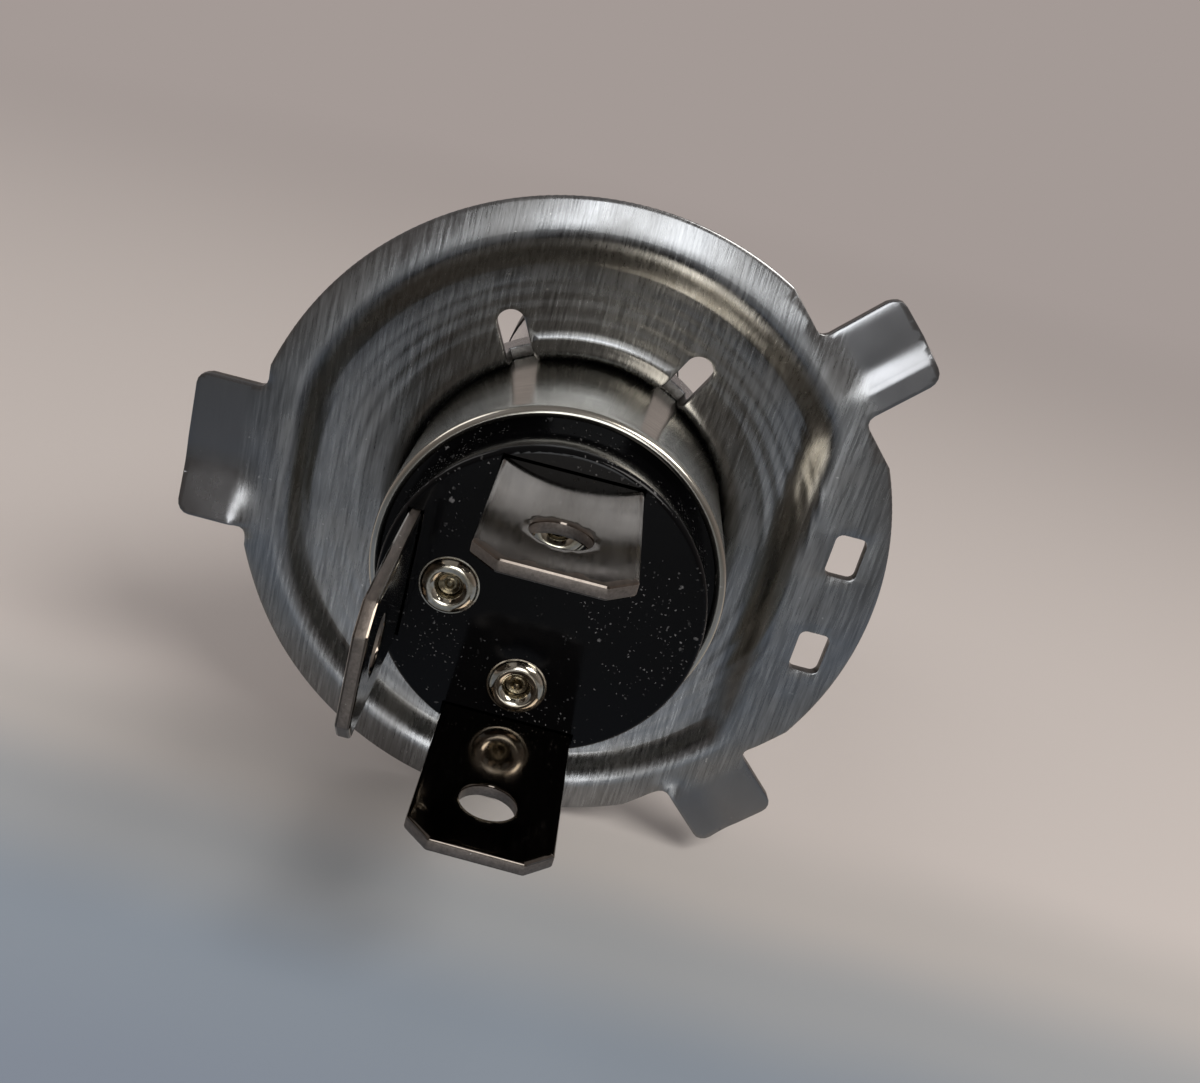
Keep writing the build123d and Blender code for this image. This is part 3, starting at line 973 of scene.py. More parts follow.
# ---- Outlines -------------------------------------------------------------------------
def arc_points(
    centre: tuple[float, float], radius: float, start: float, end: float, step: float
) -> list[tuple[float, float]]:
    """Gives points along an arc.

    Args:
        centre: The arc's centre.
        radius: Its radius.
        start: Angle of its first point in degrees.
        end: Angle of its last point in degrees.
        step: Greatest distance between two points.

    Returns:
        The points, both ends included.
    """
    turns = math.radians(end - start)
    count = max(2, math.ceil(abs(turns) * radius / step))
    angles = [math.radians(start) + turns * i / count for i in range(count + 1)]
    return [(centre[0] + radius * math.cos(a), centre[1] + radius * math.sin(a)) for a in angles]


def rounded_path(
    corners: Sequence[tuple[float, float, float]], step: float, closed: bool = True
) -> np.ndarray:
    """Joins corners with straight runs, and rounds each corner with its own radius.

    Args:
        corners: Two coordinates and a radius for each corner.
        step: Greatest distance between two points.
        closed: Whether the last corner joins the first.

    Returns:
        The path's points, one row each.
    """
    count = len(corners)
    bare: list[np.ndarray] = []
    for i, (u, v, radius) in enumerate(corners):
        corner = np.array((u, v))
        end = not closed and i in (0, count - 1)
        if radius <= 0 or end:
            bare.append(corner)
            continue
        before = np.array(corners[i - 1][:2]) - corner
        after = np.array(corners[(i + 1) % count][:2]) - corner
        before /= np.linalg.norm(before)
        after /= np.linalg.norm(after)
        opening = math.acos(float(np.clip(before @ after, -1, 1)))
        reach = radius / math.tan(opening / 2)
        middle = before + after
        middle /= np.linalg.norm(middle)
        centre = corner + middle * radius / math.sin(opening / 2)
        first, last = corner + before * reach - centre, corner + after * reach - centre
        turn = math.pi - opening
        pieces = max(3, math.ceil(turn * radius / step))
        for k in range(pieces + 1):
            share = k / pieces
            mixed = first * math.sin((1 - share) * turn) + last * math.sin(share * turn)
            bare.append(centre + mixed / math.sin(turn))
    filled: list[np.ndarray] = []
    for i, point in enumerate(bare):
        if i == len(bare) - 1 and not closed:
            filled.append(point)
            break
        following = bare[(i + 1) % len(bare)]
        runs = max(1, math.ceil(float(np.linalg.norm(following - point)) / step))
        filled.extend(point + (following - point) * k / runs for k in range(runs))
    return np.array(filled)


def turned_ccw(loop: np.ndarray, ccw: bool = True) -> np.ndarray:
    """Gives the loop running anticlockwise, or clockwise where ccw is False."""
    u, v = loop[:, 0], loop[:, 1]
    area = float(np.sum(u * np.roll(v, -1) - v * np.roll(u, -1)))
    return loop if (area > 0) == ccw else loop[::-1]


def is_inside(points: np.ndarray, loops: Sequence[np.ndarray]) -> np.ndarray:
    """Says which points lie in the material between an outline and its holes.

    Args:
        points: The points, one row each.
        loops: The outline and the holes.

    Returns:
        A truth value for each point.
    """
    inside = np.zeros(len(points), bool)
    u, v = points[:, 0], points[:, 1]
    for loop in loops:
        for (u0, v0), (u1, v1) in zip(loop, np.roll(loop, -1, axis=0)):
            if v0 == v1:
                continue
            spans = (v0 > v) != (v1 > v)
            inside ^= spans & (u < (u1 - u0) * (v - v0) / (v1 - v0) + u0)
    return inside


def gap_to(points: np.ndarray, loops: Sequence[np.ndarray]) -> np.ndarray:
    """Gives each point's distance to the nearest point of any loop."""
    cloud = np.vstack(loops)
    nearest = np.full(len(points), np.inf)
    for start in range(0, len(cloud), 64):
        offsets = points[:, None, :] - cloud[None, start : start + 64, :]
        nearest = np.minimum(nearest, np.hypot(offsets[..., 0], offsets[..., 1]).min(axis=1))
    return nearest


# ---- Meshes ---------------------------------------------------------------------------
@dataclass
class Shape:
    """A mesh in the making, in millimetres.

    Attributes:
        points: The vertices, one row each.
        faces: The faces, each a tuple of vertex numbers.
        edge_start: Number of the first face of the sheared edges, which come last.
    """

    points: np.ndarray
    faces: Faces
    edge_start: int | None = None

    def joined(self, other: "Shape") -> "Shape":
        """Gives both shapes as one."""
        shifted = [tuple(i + len(self.points) for i in face) for face in other.faces]
        return Shape(np.vstack((self.points, other.points)), self.faces + shifted)

    def piece(
        self,
        name: str,
        finish: Finish,
        slot: str,
        nodes: Sequence[str],
        sharp: float = 40.0,
        edge_finish: Finish | None = None,
    ) -> bpy.types.Object:
        """Makes the shape into a piece of the bulb.

        Args:
            name: The piece's name.
            finish: What it is made of.
            slot: The record's material slot; not used.
            nodes: The frame's nodes that it stands for.
            sharp: Angle in degrees above which an edge stays sharp.
            edge_finish: What its sheared edges look like.

        Returns:
            The piece, riding on the bulb's body.
        """
        mesh = bpy.data.meshes.new(name)
        mesh.from_pydata([tuple(p * MM) for p in self.points], [], self.faces)
        work = bmesh.new()
        work.from_mesh(mesh)
        bmesh.ops.recalc_face_normals(work, faces=work.faces)
        work.to_mesh(mesh)
        work.free()
        mesh.shade_smooth()
        mesh.set_sharp_from_angle(angle=math.radians(sharp))
        mesh.materials.append(material_of(finish))
        if edge_finish and self.edge_start is not None:
            mesh.materials.append(material_of(edge_finish))
            for polygon in mesh.polygons[self.edge_start :]:
                polygon.material_index = 1
        piece = bpy.data.objects.new(name, mesh)
        bpy.context.scene.collection.objects.link(piece)
        return settle(piece, nodes)


def settle(piece: bpy.types.Object, nodes: Sequence[str]) -> bpy.types.Object:
    """Joins a piece to the bulb's body in place of its nodes, and reports it.

    Args:
        piece: The finished piece.
        nodes: The frame's nodes that it stands for.

    Returns:
        The same piece.
    """
    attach(piece, BODY)
    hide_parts(*nodes)
    LOG.info("%s stands for %s", piece.name, ", ".join(nodes))
    return piece


def revolved(profile: np.ndarray, centre: tuple[float, float], steps: int, closed: bool = True) -> Shape:
    """Turns a profile round an axis along Y.

    Args:
        profile: Radius and Y of each point.
        centre: The axis's X and Z.
        steps: Number of faces round the turn.
        closed: Whether the profile's last point joins its first.

    Returns:
        The turned shape.
    """
    points: list[tuple[float, float, float]] = []
    rows: list[list[int]] = []
    for radius, y in profile:
        if radius < 1e-6:
            rows.append([len(points)] * steps)
            points.append((centre[0], y, centre[1]))
            continue
        rows.append(list(range(len(points), len(points) + steps)))
        for k in range(steps):
            angle = 2 * math.pi * k / steps
            points.append((centre[0] + radius * math.cos(angle), y, centre[1] + radius * math.sin(angle)))
    faces: Faces = []
    pairs = list(zip(rows, rows[1:] + rows[:1])) if closed else list(zip(rows, rows[1:]))
    for this, following in pairs:
        for k in range(steps):
            n = (k + 1) % steps
            ring = [this[k], this[n], following[n], following[k]]
            unique = tuple(dict.fromkeys(ring))
            if len(unique) > 2:
                faces.append(unique)
    return Shape(np.array(points), faces)


@dataclass(frozen=True)
class Blank:
    """A flat blank of sheet metal, before it is pressed.

    Attributes:
        outline: The outer edge.
        holes: The edges of the holes.
        filling: Points inside the blank that carry the pressed shape.
        thickness: Thickness of the sheet.
        edge_round: Rounding of the sheared edges.
    """

    outline: np.ndarray
    holes: list[np.ndarray]
    filling: np.ndarray
    thickness: float
    edge_round: float

    def pressed(self, form: Form) -> Shape:
        """Presses the blank.

        Args:
            form: Gives the outer surface's points for two arrays of blank coordinates.

        Returns:
            The closed pressed sheet.
        """
        loops = [turned_ccw(self.outline)] + [turned_ccw(hole, False) for hole in self.holes]
        inward = []
        for loop in loops:
            run = np.roll(loop, -1, axis=0) - np.roll(loop, 1, axis=0)
            run /= np.linalg.norm(run, axis=1, keepdims=True)
            inward.append(np.column_stack((-run[:, 1], run[:, 0])))
        inset = [loop + side * self.edge_round for loop, side in zip(loops, inward)]
        clear = self.edge_round * 1.2
        keep = is_inside(self.filling, inset) & (gap_to(self.filling, inset) > clear)
        flat = np.vstack([*inset, self.filling[keep]])
        edges, start = [], 0
        for loop in inset:
            size = len(loop)
            edges += [(start + i, start + (i + 1) % size) for i in range(size)]
            start += size
        found = delaunay_2d_cdt([Vector(p) for p in flat], edges, [], 0, 1e-7)
        sheet = np.array([(p.x, p.y) for p in found[0]])
        number = {old: new for new, olds in enumerate(found[3]) for old in olds}
        triangles = np.array([face for face in found[2] if len(face) == 3])
        inside = is_inside(sheet[triangles].mean(axis=1), inset)
        triangles = triangles[inside]

        def at(spots: np.ndarray, depth: float) -> np.ndarray:
            """Gives the sheet's points at a depth below its outer surface."""
            nudge = 1e-3
            u, v = spots[:, 0], spots[:, 1]
            middle = form(u, v)
            along_u = form(u + nudge, v) - form(u - nudge, v)
            along_v = form(u, v + nudge) - form(u, v - nudge)
            across = np.cross(along_u, along_v)
            across /= np.linalg.norm(across, axis=1, keepdims=True)
            return middle - across * depth

        points = [at(sheet, 0.0), at(sheet, self.thickness)]
        count = len(sheet)
        faces: Faces = [tuple(int(i) for i in t) for t in triangles]
        faces += [tuple(int(i) + count for i in reversed(t)) for t in triangles]
        walls: Faces = []
        total, start = 2 * count, 0
        ease = self.edge_round * (1 - math.sqrt(0.5))
        for loop, side in zip(loops, inward):
            size = len(loop)
            rows = [[number[start + i] for i in range(size)]]
            levels = (
                (ease, ease),
                (0.0, self.edge_round),
                (0.0, self.thickness - self.edge_round),
                (ease, self.thickness - ease),
            )
            for inset_by, depth in levels:
                points.append(at(loop + side * inset_by, depth))
                rows.append(list(range(total, total + size)))
                total += size
            rows.append([number[start + i] + count for i in range(size)])
            for row, (this, following) in enumerate(zip(rows, rows[1:])):
                kind = walls if row == 2 else faces
                for i in range(size):
                    n = (i + 1) % size
                    kind.append((this[i], following[i], following[n], this[n]))
            start += size
        return Shape(np.vstack(points), faces + walls, len(faces))


def smooth_step(x: np.ndarray, low: float, high: float) -> np.ndarray:
    """Rises smoothly from 0 at low to 1 at high."""
    t = np.clip((x - low) / (high - low), 0, 1)
    return t * t * t * (t * (6 * t - 15) + 10)


def soft_least(a: np.ndarray, b: np.ndarray, blend: float) -> np.ndarray:
    """Gives the lesser of two arrays, rounded over where they meet."""
    close = np.maximum(blend - np.abs(a - b), 0) / blend
    return np.minimum(a, b) - close * close * blend / 4


# ---- Prefocus ring --------------------------------------------------------------------
@dataclass(frozen=True)
class Lug:
    """One lug of the ring.

    Attributes:
        angle: Direction in degrees from +X towards +Z.
        width: Width of the lug.
        crease_side: 1 where the crease is on the anticlockwise side, otherwise -1.
        outer_slope: Slope of the flat strip beyond the crease.
    """

    angle: float
    width: float
    crease_side: int
    outer_slope: float


@dataclass
class PrefocusRing:
    """The pressed ring: rim, step, dish, neck, lugs, slots and windows."""

    # Sheet and rim. The rim is flat up to crown_start and falls away beyond it.
    radius: float = 21.5
    sheet: float = 0.8
    edge_round: float = 0.09
    crown_start: float = 19.6
    crown_curve: float = 0.055
    # Step between rim and dish: round, with straight runs beside the windows and the wide lug.
    step_radius: float = 18.9
    step_start: float = -0.1
    step_run: float = 1.3
    step_round: float = 0.7
    step_depth: float = 1.0
    chord: float = 15.3
    root_straight: float = 18.25
    corner_blend: float = 0.9
    # Dish, which drops further towards the neck.
    dish_radius: float = 18.3
    dish_depth: float = 1.05
    dish_inner: float = 12.794
    # Neck, folded forwards from fold_start and ending in a band round the sleeve.
    neck_radius: float = 10.98
    neck_turn: float = 1.5
    fold_start: float = 12.7
    band_start: float = 3.9
    band_end: float = 6.9
    band_radius: float = 10.91
    taper_length: float = 0.8
    # Lugs, cut out between short straight runs of the rim.
    lug_reach: float = 4.2
    root_line: float = 20.5
    root_fillet: float = 0.6
    root_corner: float = 0.15
    lug_corner: float = 0.9
    lug_crown: float = 0.12
    crease_slope: float = 0.32
    lug_set_back: float = 0.22
    edge_roll: float = 0.6
    edge_fall: float = 0.1
    lugs: tuple[Lug, ...] = (
        Lug(180.0, 9.8, 1, 0.3),
        Lug(45.0, 5.9, -1, 0.02),
        Lug(-45.0, 5.9, -1, 0.32),
    )
    # Two windows in the flat segment towards +X.
    window_place: float = 18.5
    window_pitch: float = 7.1
    window_size: tuple[float, float] = (2.0, 2.9)
    window_corner: float = 0.45
    # Four slots either side of +Z and -Z, from the dish down into the neck.
    slot_angle: float = 26.0
    slot_width: float = 1.8
    slot_end: float = 14.79
    slot_floor: float = 4.4
    # Raised bead between two slots, and the marks that the drawing die leaves on the dish.
    bead_radius: float = 12.5
    bead_height: float = 0.14
    bead_width: float = 0.3
    drawing_marks: tuple[float, ...] = (13.7, 14.7, 15.6, 16.4, 17.1)
    mark_width: float = 0.27
    mark_height: float = 0.045
    # Mesh: spokes round the ring, spacings of its rows in the neck and over the step, and how
    # far inside and outside the step's edge and inside the rim's edge the rows change.
    spokes: int = 264
    neck_row: float = 0.17
    step_row: float = 0.13
    dish_rows: int = 17
    step_lead: float = 1.2
    rim_lead: float = 0.7
    rim_margin: float = 0.25

    def __post_init__(self) -> None:
        """Works out the neck's path from the dish to the end of its band."""
        start = (self.fold_start, float(self.dish_level(np.array(self.fold_start))), 0.0)
        slope = self.dish_depth / (self.dish_radius - self.dish_inner)
        turn = start[1] + (self.fold_start - self.neck_radius) * slope
        corners = (
            start,
            (self.neck_radius, turn, self.neck_turn),
            (self.neck_radius, self.band_start - self.taper_length, 0.1),
            (self.band_radius, self.band_start, 0.1),
            (self.band_radius, self.band_end, 0.0),
        )
        self.neck = rounded_path(corners, 0.1, closed=False)
        runs = np.hypot(*np.diff(self.neck, axis=0).T)
        self.neck_way = np.concatenate(([0.0], np.cumsum(runs)))

    def dish_level(self, radius: np.ndarray) -> np.ndarray:
        """Gives the Y of the rear face across the dish."""
        share = np.maximum((self.dish_radius - radius) / (self.dish_radius - self.dish_inner), 0)
        return -self.sheet + self.step_depth + self.dish_depth * share

    def depth_inside(self, x: np.ndarray, z: np.ndarray) -> np.ndarray:
        """Gives how far inside the step's upper edge a place lies."""
        inside = self.step_radius - np.hypot(x, z)
        inside = soft_least(inside, self.chord - x, self.corner_blend)
        return soft_least(inside, self.root_straight + x, self.corner_blend)

    def form(self, u: np.ndarray, v: np.ndarray) -> np.ndarray:
        """Presses places on the blank to the rear face of the ring.

        Args:
            u: Blank coordinates along X.
            v: Blank coordinates along Z.

        Returns:
            A row of X, Y and Z for each place.
        """
        radius = np.hypot(u, v)
        angle = np.arctan2(v, u)
        inside = (self.depth_inside(u, v) - self.step_start) / self.step_run
        blend = self.step_round / self.step_run
        drop = soft_least(-soft_least(-inside, 0 * inside, blend), 1 + 0 * inside, blend)
        y = -self.sheet + drop * (self.dish_level(radius) + self.sheet)
        y = y - self.lug_rise(u, v) - self.small_relief(radius, angle) + self.crown_fall(u, v)
        way = np.clip(self.fold_start - radius, 0, self.neck_way[-1])
        folded = radius < self.fold_start
        neck_r = np.interp(way, self.neck_way, self.neck[:, 0])
        neck_y = np.interp(way, self.neck_way, self.neck[:, 1]) - self.small_relief(radius, angle)
        r = np.where(folded, neck_r, radius)
        y = np.where(folded, neck_y, y)
        return np.column_stack((r * np.cos(angle), y, r * np.sin(angle)))

    def small_relief(self, radius: np.ndarray, angle: np.ndarray) -> np.ndarray:
        """Gives the raised bead between the slots and the faint marks of the drawing die.

        Args:
            radius: Radii on the blank.
            angle: Angles on the blank.

        Returns:
            How far each place stands up towards the rear.
        """
        from_z = np.degrees(np.arccos(np.clip(np.abs(np.sin(angle)), 0, 1)))
        between = 1 - smooth_step(from_z, self.slot_angle - 1.5, self.slot_angle + 1.5)
        bead = self.bead_height * np.exp(-(((radius - self.bead_radius) / self.bead_width) ** 2))
        marks = sum(np.exp(-(((radius - mark) / self.mark_width) ** 2)) for mark in self.drawing_marks)
        return bead * between + self.mark_height * marks

    def crown_fall(self, u: np.ndarray, v: np.ndarray) -> np.ndarray:
        """Gives how far the rim falls away towards its outer edge, between the lugs.

        Args:
            u: Blank coordinates along X.
            v: Blank coordinates along Z.

        Returns:
            The fall of each place.
        """
        reach = np.clip(np.hypot(u, v) - self.crown_start, 0, self.radius - self.crown_start)
        fall = self.crown_curve * reach * reach
        for lug in self.lugs:
            c, s = math.cos(math.radians(lug.angle)), math.sin(math.radians(lug.angle))
            gap = np.where(u * c + v * s > 0, np.abs(-u * s + v * c) - lug.width / 2, self.radius)
            fall = fall * smooth_step(gap, -0.5, 5.0)
        return fall

    def lug_rise(self, u: np.ndarray, v: np.ndarray) -> np.ndarray:
        """Gives how far the creased side of each lug stands up towards the rear.

        Args:
            u: Blank coordinates along X.
            v: Blank coordinates along Z.

        Returns:
            The rise of each place.
        """
        rise = np.zeros_like(u)
        for lug in self.lugs:
            c, s = math.cos(math.radians(lug.angle)), math.sin(math.radians(lug.angle))
            along = u * c + v * s
            side = (-u * s + v * c) * lug.crease_side
            crease = lug.width / 4
            climb = np.clip(side, 0, crease) ** 2 / (2 * crease) * self.crease_slope
            beyond = np.clip(side - crease, 0, crease) * lug.outer_slope
            rolled = np.clip(-side - (lug.width / 2 - self.edge_roll), 0, self.edge_roll)
            bent = climb + beyond - rolled * rolled * self.edge_fall - self.lug_set_back
            out = smooth_step(along, self.root_line - 1.1, self.root_line + 1.3)
            out = out * (1 - smooth_step(np.abs(side), lug.width / 2, lug.width / 2 + 1.4))
            rise = rise + np.where(along > 0, bent * out, 0)
        return rise

    def outline(self) -> np.ndarray:
        """Draws the ring's outer edge with its three lugs.

        Returns:
            The points of the closed outline.
        """
        half_cut = math.degrees(math.acos(self.root_line / self.radius))
        cut_width = math.sqrt(self.radius**2 - self.root_line**2)
        tip = self.radius + self.lug_reach
        corners: list[tuple[float, float, float]] = []
        ordered = sorted(self.lugs, key=lambda lug: lug.angle)
        for lug, following in zip(ordered, ordered[1:] + ordered[:1]):
            c, s = math.cos(math.radians(lug.angle)), math.sin(math.radians(lug.angle))
            half = lug.width / 2
            edge = math.sqrt(tip**2 - half**2)
            local = (
                (self.root_line, -cut_width, self.root_corner),
                (self.root_line, -half, self.root_fillet),
                (edge, -half, self.lug_corner),
                (edge + self.lug_crown, 0.0, 0.0),
                (edge, half, self.lug_corner),
                (self.root_line, half, self.root_fillet),
                (self.root_line, cut_width, self.root_corner),
            )
            corners += [(a * c - t * s, a * s + t * c, r) for a, t, r in local]
            start, end = lug.angle + half_cut, following.angle - half_cut
            end += 360 if end < start else 0
            rim = arc_points((0, 0), self.radius, start, end, 0.5)
            corners += [(x, z, 0.0) for x, z in rim[1:-1]]
        return rounded_path(corners, 0.35)

    def slot(self, angle: float) -> np.ndarray:
        """Draws one slot, which runs from the dish down into the neck.

        Args:
            angle: Direction of the slot in degrees from +X towards +Z.

        Returns:
            The points of the closed slot on the blank.
        """
        half = self.slot_width / 2
        flat = arc_points((self.slot_end - half, 0), half, -90, 90, 0.15)
        depth = float(np.interp(self.slot_floor, self.neck[:, 1], self.neck_way))
        down = []
        for way in np.linspace(0, depth, 12):
            real = float(np.interp(way, self.neck_way, self.neck[:, 0]))
            reach, swing = self.fold_start - way, half / real
            down.append((reach * math.cos(swing), reach * math.sin(swing)))
        left = down[1:]
        floor = [(left[-1][0], t) for t in np.linspace(left[-1][1], -left[-1][1], 7)[1:-1]]
        right = [(a, -t) for a, t in reversed(left)]
        local = np.array(flat + left + floor + right)
        a, t = local[:, 0], local[:, 1]
        c, s = math.cos(math.radians(angle)), math.sin(math.radians(angle))
        return np.column_stack((a * c - t * s, a * s + t * c))

    def window(self, side: int) -> np.ndarray:
        """Draws one window of the flat segment.

        Args:
            side: 1 for the upper window, -1 for the lower one.

        Returns:
            The points of the closed window on the blank.
        """
        wide, high = self.window_size[0] / 2, self.window_size[1] / 2
        z = side * self.window_pitch / 2
        spots = ((-wide, -high), (wide, -high), (wide, high), (-wide, high))
        corners = [(self.window_place + a, z + b, self.window_corner) for a, b in spots]
        return rounded_path(corners, 0.2)

    def filling(self) -> np.ndarray:
        """Spreads points over the blank, closer together where the sheet bends.

        The rows run round the axis: down the neck, out across the dish, close together over
        the step, and out to the rim. A grid fills each lug.

        Returns:
            The points, one row each.
        """
        angles = np.arange(self.spokes) * 2 * math.pi / self.spokes
        edge = np.array([self.edge_of_step(a) for a in angles])
        ways = np.arange(0.0, self.neck_way[-1], self.neck_row)
        rows = [np.full(self.spokes, self.fold_start - way) for way in ways]
        dish_end = edge - self.step_lead
        for share in np.linspace(0, 1, self.dish_rows + 1)[1:]:
            rows.append(self.fold_start + (dish_end - self.fold_start) * share)
        rows += [dish_end - 0.5 + gap for gap in np.arange(0.1, 2.4, self.step_row)]
        outer, rim_start = self.radius - self.rim_margin, edge + self.rim_lead
        rows += [
            rim_start + (outer - edge - self.rim_lead) * share for share in (0.0, 0.33, 0.66, 1.0)
        ]
        spots = [np.column_stack((r * np.cos(angles), r * np.sin(angles))) for r in rows]
        for lug in self.lugs:
            c, s = math.cos(math.radians(lug.angle)), math.sin(math.radians(lug.angle))
            a, t = np.meshgrid(
                np.arange(self.radius + 0.1, self.radius + self.lug_reach, 0.3),
                np.linspace(-lug.width / 2, lug.width / 2, 4 * round(lug.width) + 1),
            )
            a, t = a.ravel(), t.ravel()
            spots.append(np.column_stack((a * c - t * s, a * s + t * c)))
        return np.vstack(spots)

    def edge_of_step(self, angle: float) -> float:
        """Gives the radius of the step's upper edge in one direction."""
        low, high = self.fold_start, self.step_radius + 0.5
        for _ in range(24):
            middle = (low + high) / 2
            x, z = np.array(middle * math.cos(angle)), np.array(middle * math.sin(angle))
            low, high = (middle, high) if float(self.depth_inside(x, z)) > 0 else (low, middle)
        return low

    def build(self) -> bpy.types.Object:
        """Makes the ring.

        Returns:
            The ring's piece.
        """
        inner = self.fold_start - self.neck_way[-1]
        holes = [np.array(arc_points((0, 0), inner, 0, 360, 0.2)[:-1])]
        holes += [self.window(side) for side in (-1, 1)]
        holes += [self.slot(middle + side * self.slot_angle) for middle in (90, 270) for side in (-1, 1)]
        blank = Blank(self.outline(), holes, self.filling(), self.sheet, self.edge_round)
        shape = blank.pressed(self.form)
        return shape.piece(
            "pressed_prefocus_ring", RING_STEEL, "ring_steel", ["prefocus_ring"], 34.0, RING_EDGE
        )


# ---- Base: sleeve, plug, blades, eyelets ------------------------------------------------
@dataclass
class Base:
    """The rear end: drawn sleeve, moulded plug, contact blades, eyelets and solder."""

    # Sleeve, from its front end to the rear rim that is rolled in over the plug.
    sleeve_radius: float = 10.894
    sleeve_wall: float = 0.45
    sleeve_front: float = 8.0
    rim_rear: float = -8.5
    rim_inner: float = 10.2
    rim_roll: float = 0.34
    # Blades. Each leans from the end of held_length, and its foot is bent in under the plate.
    blade_offset: float = 8.1
    blade_width: float = 8.0
    blade_thickness: float = 0.8
    blade_edge: float = 0.14
    blade_tip: float = -26.0
    blade_chamfer: float = 1.4
    blade_hole: float = 1.6
    blade_hole_from_tip: float = 4.6
    plate_front: float = -9.0
    foot_width: float = 5.0
    foot_bend: float = 0.5
    held_length: float = 3.3
    # Knock near a blade's tip: its middle from the tip and from the side, and its spread.
    dent_place: tuple[float, float] = (2.5, 0.75)
    dent_spread: tuple[float, float] = (0.55, 0.26)
    # Eyelets through the plug's plate and the blades' feet.
    plug_rear: float = -12.3
    eyelet_place: float = 5.3
    eyelet_radius: float = 1.8
    eyelet_bore: float = 0.72
    eyelet_lip: float = 0.5
    barrel_radius: float = 1.25
    roll_front: float = -7.8
    roll_width: float = 0.4
    # Solder in the eyelets, in the order of the circuits.
    nub_rise: tuple[float, float, float] = (0.0, 0.25, 0.35)
    solder_level: tuple[float, float, float] = (0.2, 0.25, 0.25)
    solder_depth: float = 2.0
    circuits: tuple[tuple[str, int, int], ...] = (
        ("low_beam", -1, 0),
        ("common", 0, 1),
        ("high_beam", 0, -1),
    )

    def build(self) -> None:
        """Makes each piece of the base, and dresses the plug."""
        self.build_sleeve()
        dress("insulator_plug", PHENOLIC)
        for name, x, z in self.circuits:
            self.build_blade(name, x, z)
        self.build_eyelets()
        self.build_solder()

    def build_sleeve(self) -> bpy.types.Object:
        """Turns the sleeve, whose rear rim is rolled in over the plug."""
        bore = self.sleeve_radius - self.sleeve_wall
        corners = (
            (self.sleeve_radius, self.sleeve_front, 0.1),
            (self.sleeve_radius, self.rim_rear, self.rim_roll),
            (self.rim_inner, self.rim_rear, 0.3),
            (self.rim_inner, self.rim_rear + self.sleeve_wall, 0.05),
            (bore, self.rim_rear + self.sleeve_wall, 0.0),
            (bore, self.sleeve_front, 0.1),
        )
        shape = revolved(rounded_path(corners, 0.6), (0, 0), 160)
        return shape.piece("drawn_sleeve", SLEEVE_STEEL, "sleeve_steel", ["base_sleeve"])

    def build_blade(self, circuit: str, x: int, z: int) -> bpy.types.Object:
        """Presses one blade from strip and bends its foot in under the plug's plate.

        Args:
            circuit: The circuit's name.
            x: X of the direction outwards.
            z: Z of the direction outwards.

        Returns:
            The blade's piece.
        """
        half, foot_half = self.blade_width / 2, self.foot_width / 2
        length = self.plate_front - self.blade_tip
        outer = self.blade_offset + self.blade_thickness / 2
        foot = outer - self.eyelet_place + self.eyelet_radius
        corners = (
            (0.0, -half + self.blade_chamfer, 0.25),
            (self.blade_chamfer, -half, 0.25),
            (length, -half, 0.1),
            (length, -foot_half, 0.0),
            (length + foot, -foot_half, 0.1),
            (length + foot, foot_half, 0.1),
            (length, foot_half, 0.0),
            (length, half, 0.1),
            (self.blade_chamfer, half, 0.25),
            (0.0, half - self.blade_chamfer, 0.25),
        )
        barrel_place = length + outer - self.eyelet_place
        tip_hole = arc_points((self.blade_hole_from_tip, 0), self.blade_hole, 0, 360, 0.15)
        foot_hole = arc_points((barrel_place, 0), self.barrel_radius, 0, 360, 0.2)
        holes = [np.array(tip_hole[:-1]), np.array(foot_hole[:-1])]
        u, v = np.meshgrid(np.arange(0.3, length + foot, 0.35), np.linspace(-half, half, 25))
        filling = np.column_stack((u.ravel(), v.ravel()))
        blank = Blank(rounded_path(corners, 0.4), holes, filling, self.blade_thickness, self.blade_edge)
        bend_end = self.foot_bend * math.pi / 2
        straight = length + self.blade_thickness - self.foot_bend
        lean, dent_depth = BLADE_LEAN[circuit], BLADE_DENT[circuit]

        def form(u: np.ndarray, v: np.ndarray) -> np.ndarray:
            """Bends places on the blank to the blade's outer face.

            Args:
                u: Distance from the tip.
                v: Distance across, from the middle.

            Returns:
                A row of X, Y and Z for each place.
            """
            turn = np.clip((u - straight) / self.foot_bend, 0, math.pi / 2)
            after = np.maximum(u - straight - bend_end, 0)
            inward = self.foot_bend * (1 - np.cos(turn)) + after
            y = self.blade_tip + np.minimum(u, straight) + self.foot_bend * np.sin(turn)
            free = np.maximum(length - self.held_length - u, 0)
            bow = lean * (free / length) ** 2
            along = (u - self.dent_place[0]) / self.dent_spread[0]
            across = (v + half - self.dent_place[1]) / self.dent_spread[1]
            dent = dent_depth * np.exp(-(along**2 + across**2))
            reach = outer - inward + bow - dent
            return np.column_stack((x * reach - z * v, y, z * reach + x * v))

        shape = blank.pressed(form)
        name = f"contact_blade_{circuit}"
        return shape.piece(
            name, BLADE_PLATE, "blade_plate", [f"blade_{circuit}"], 36.0, BLADE_EDGE
        )

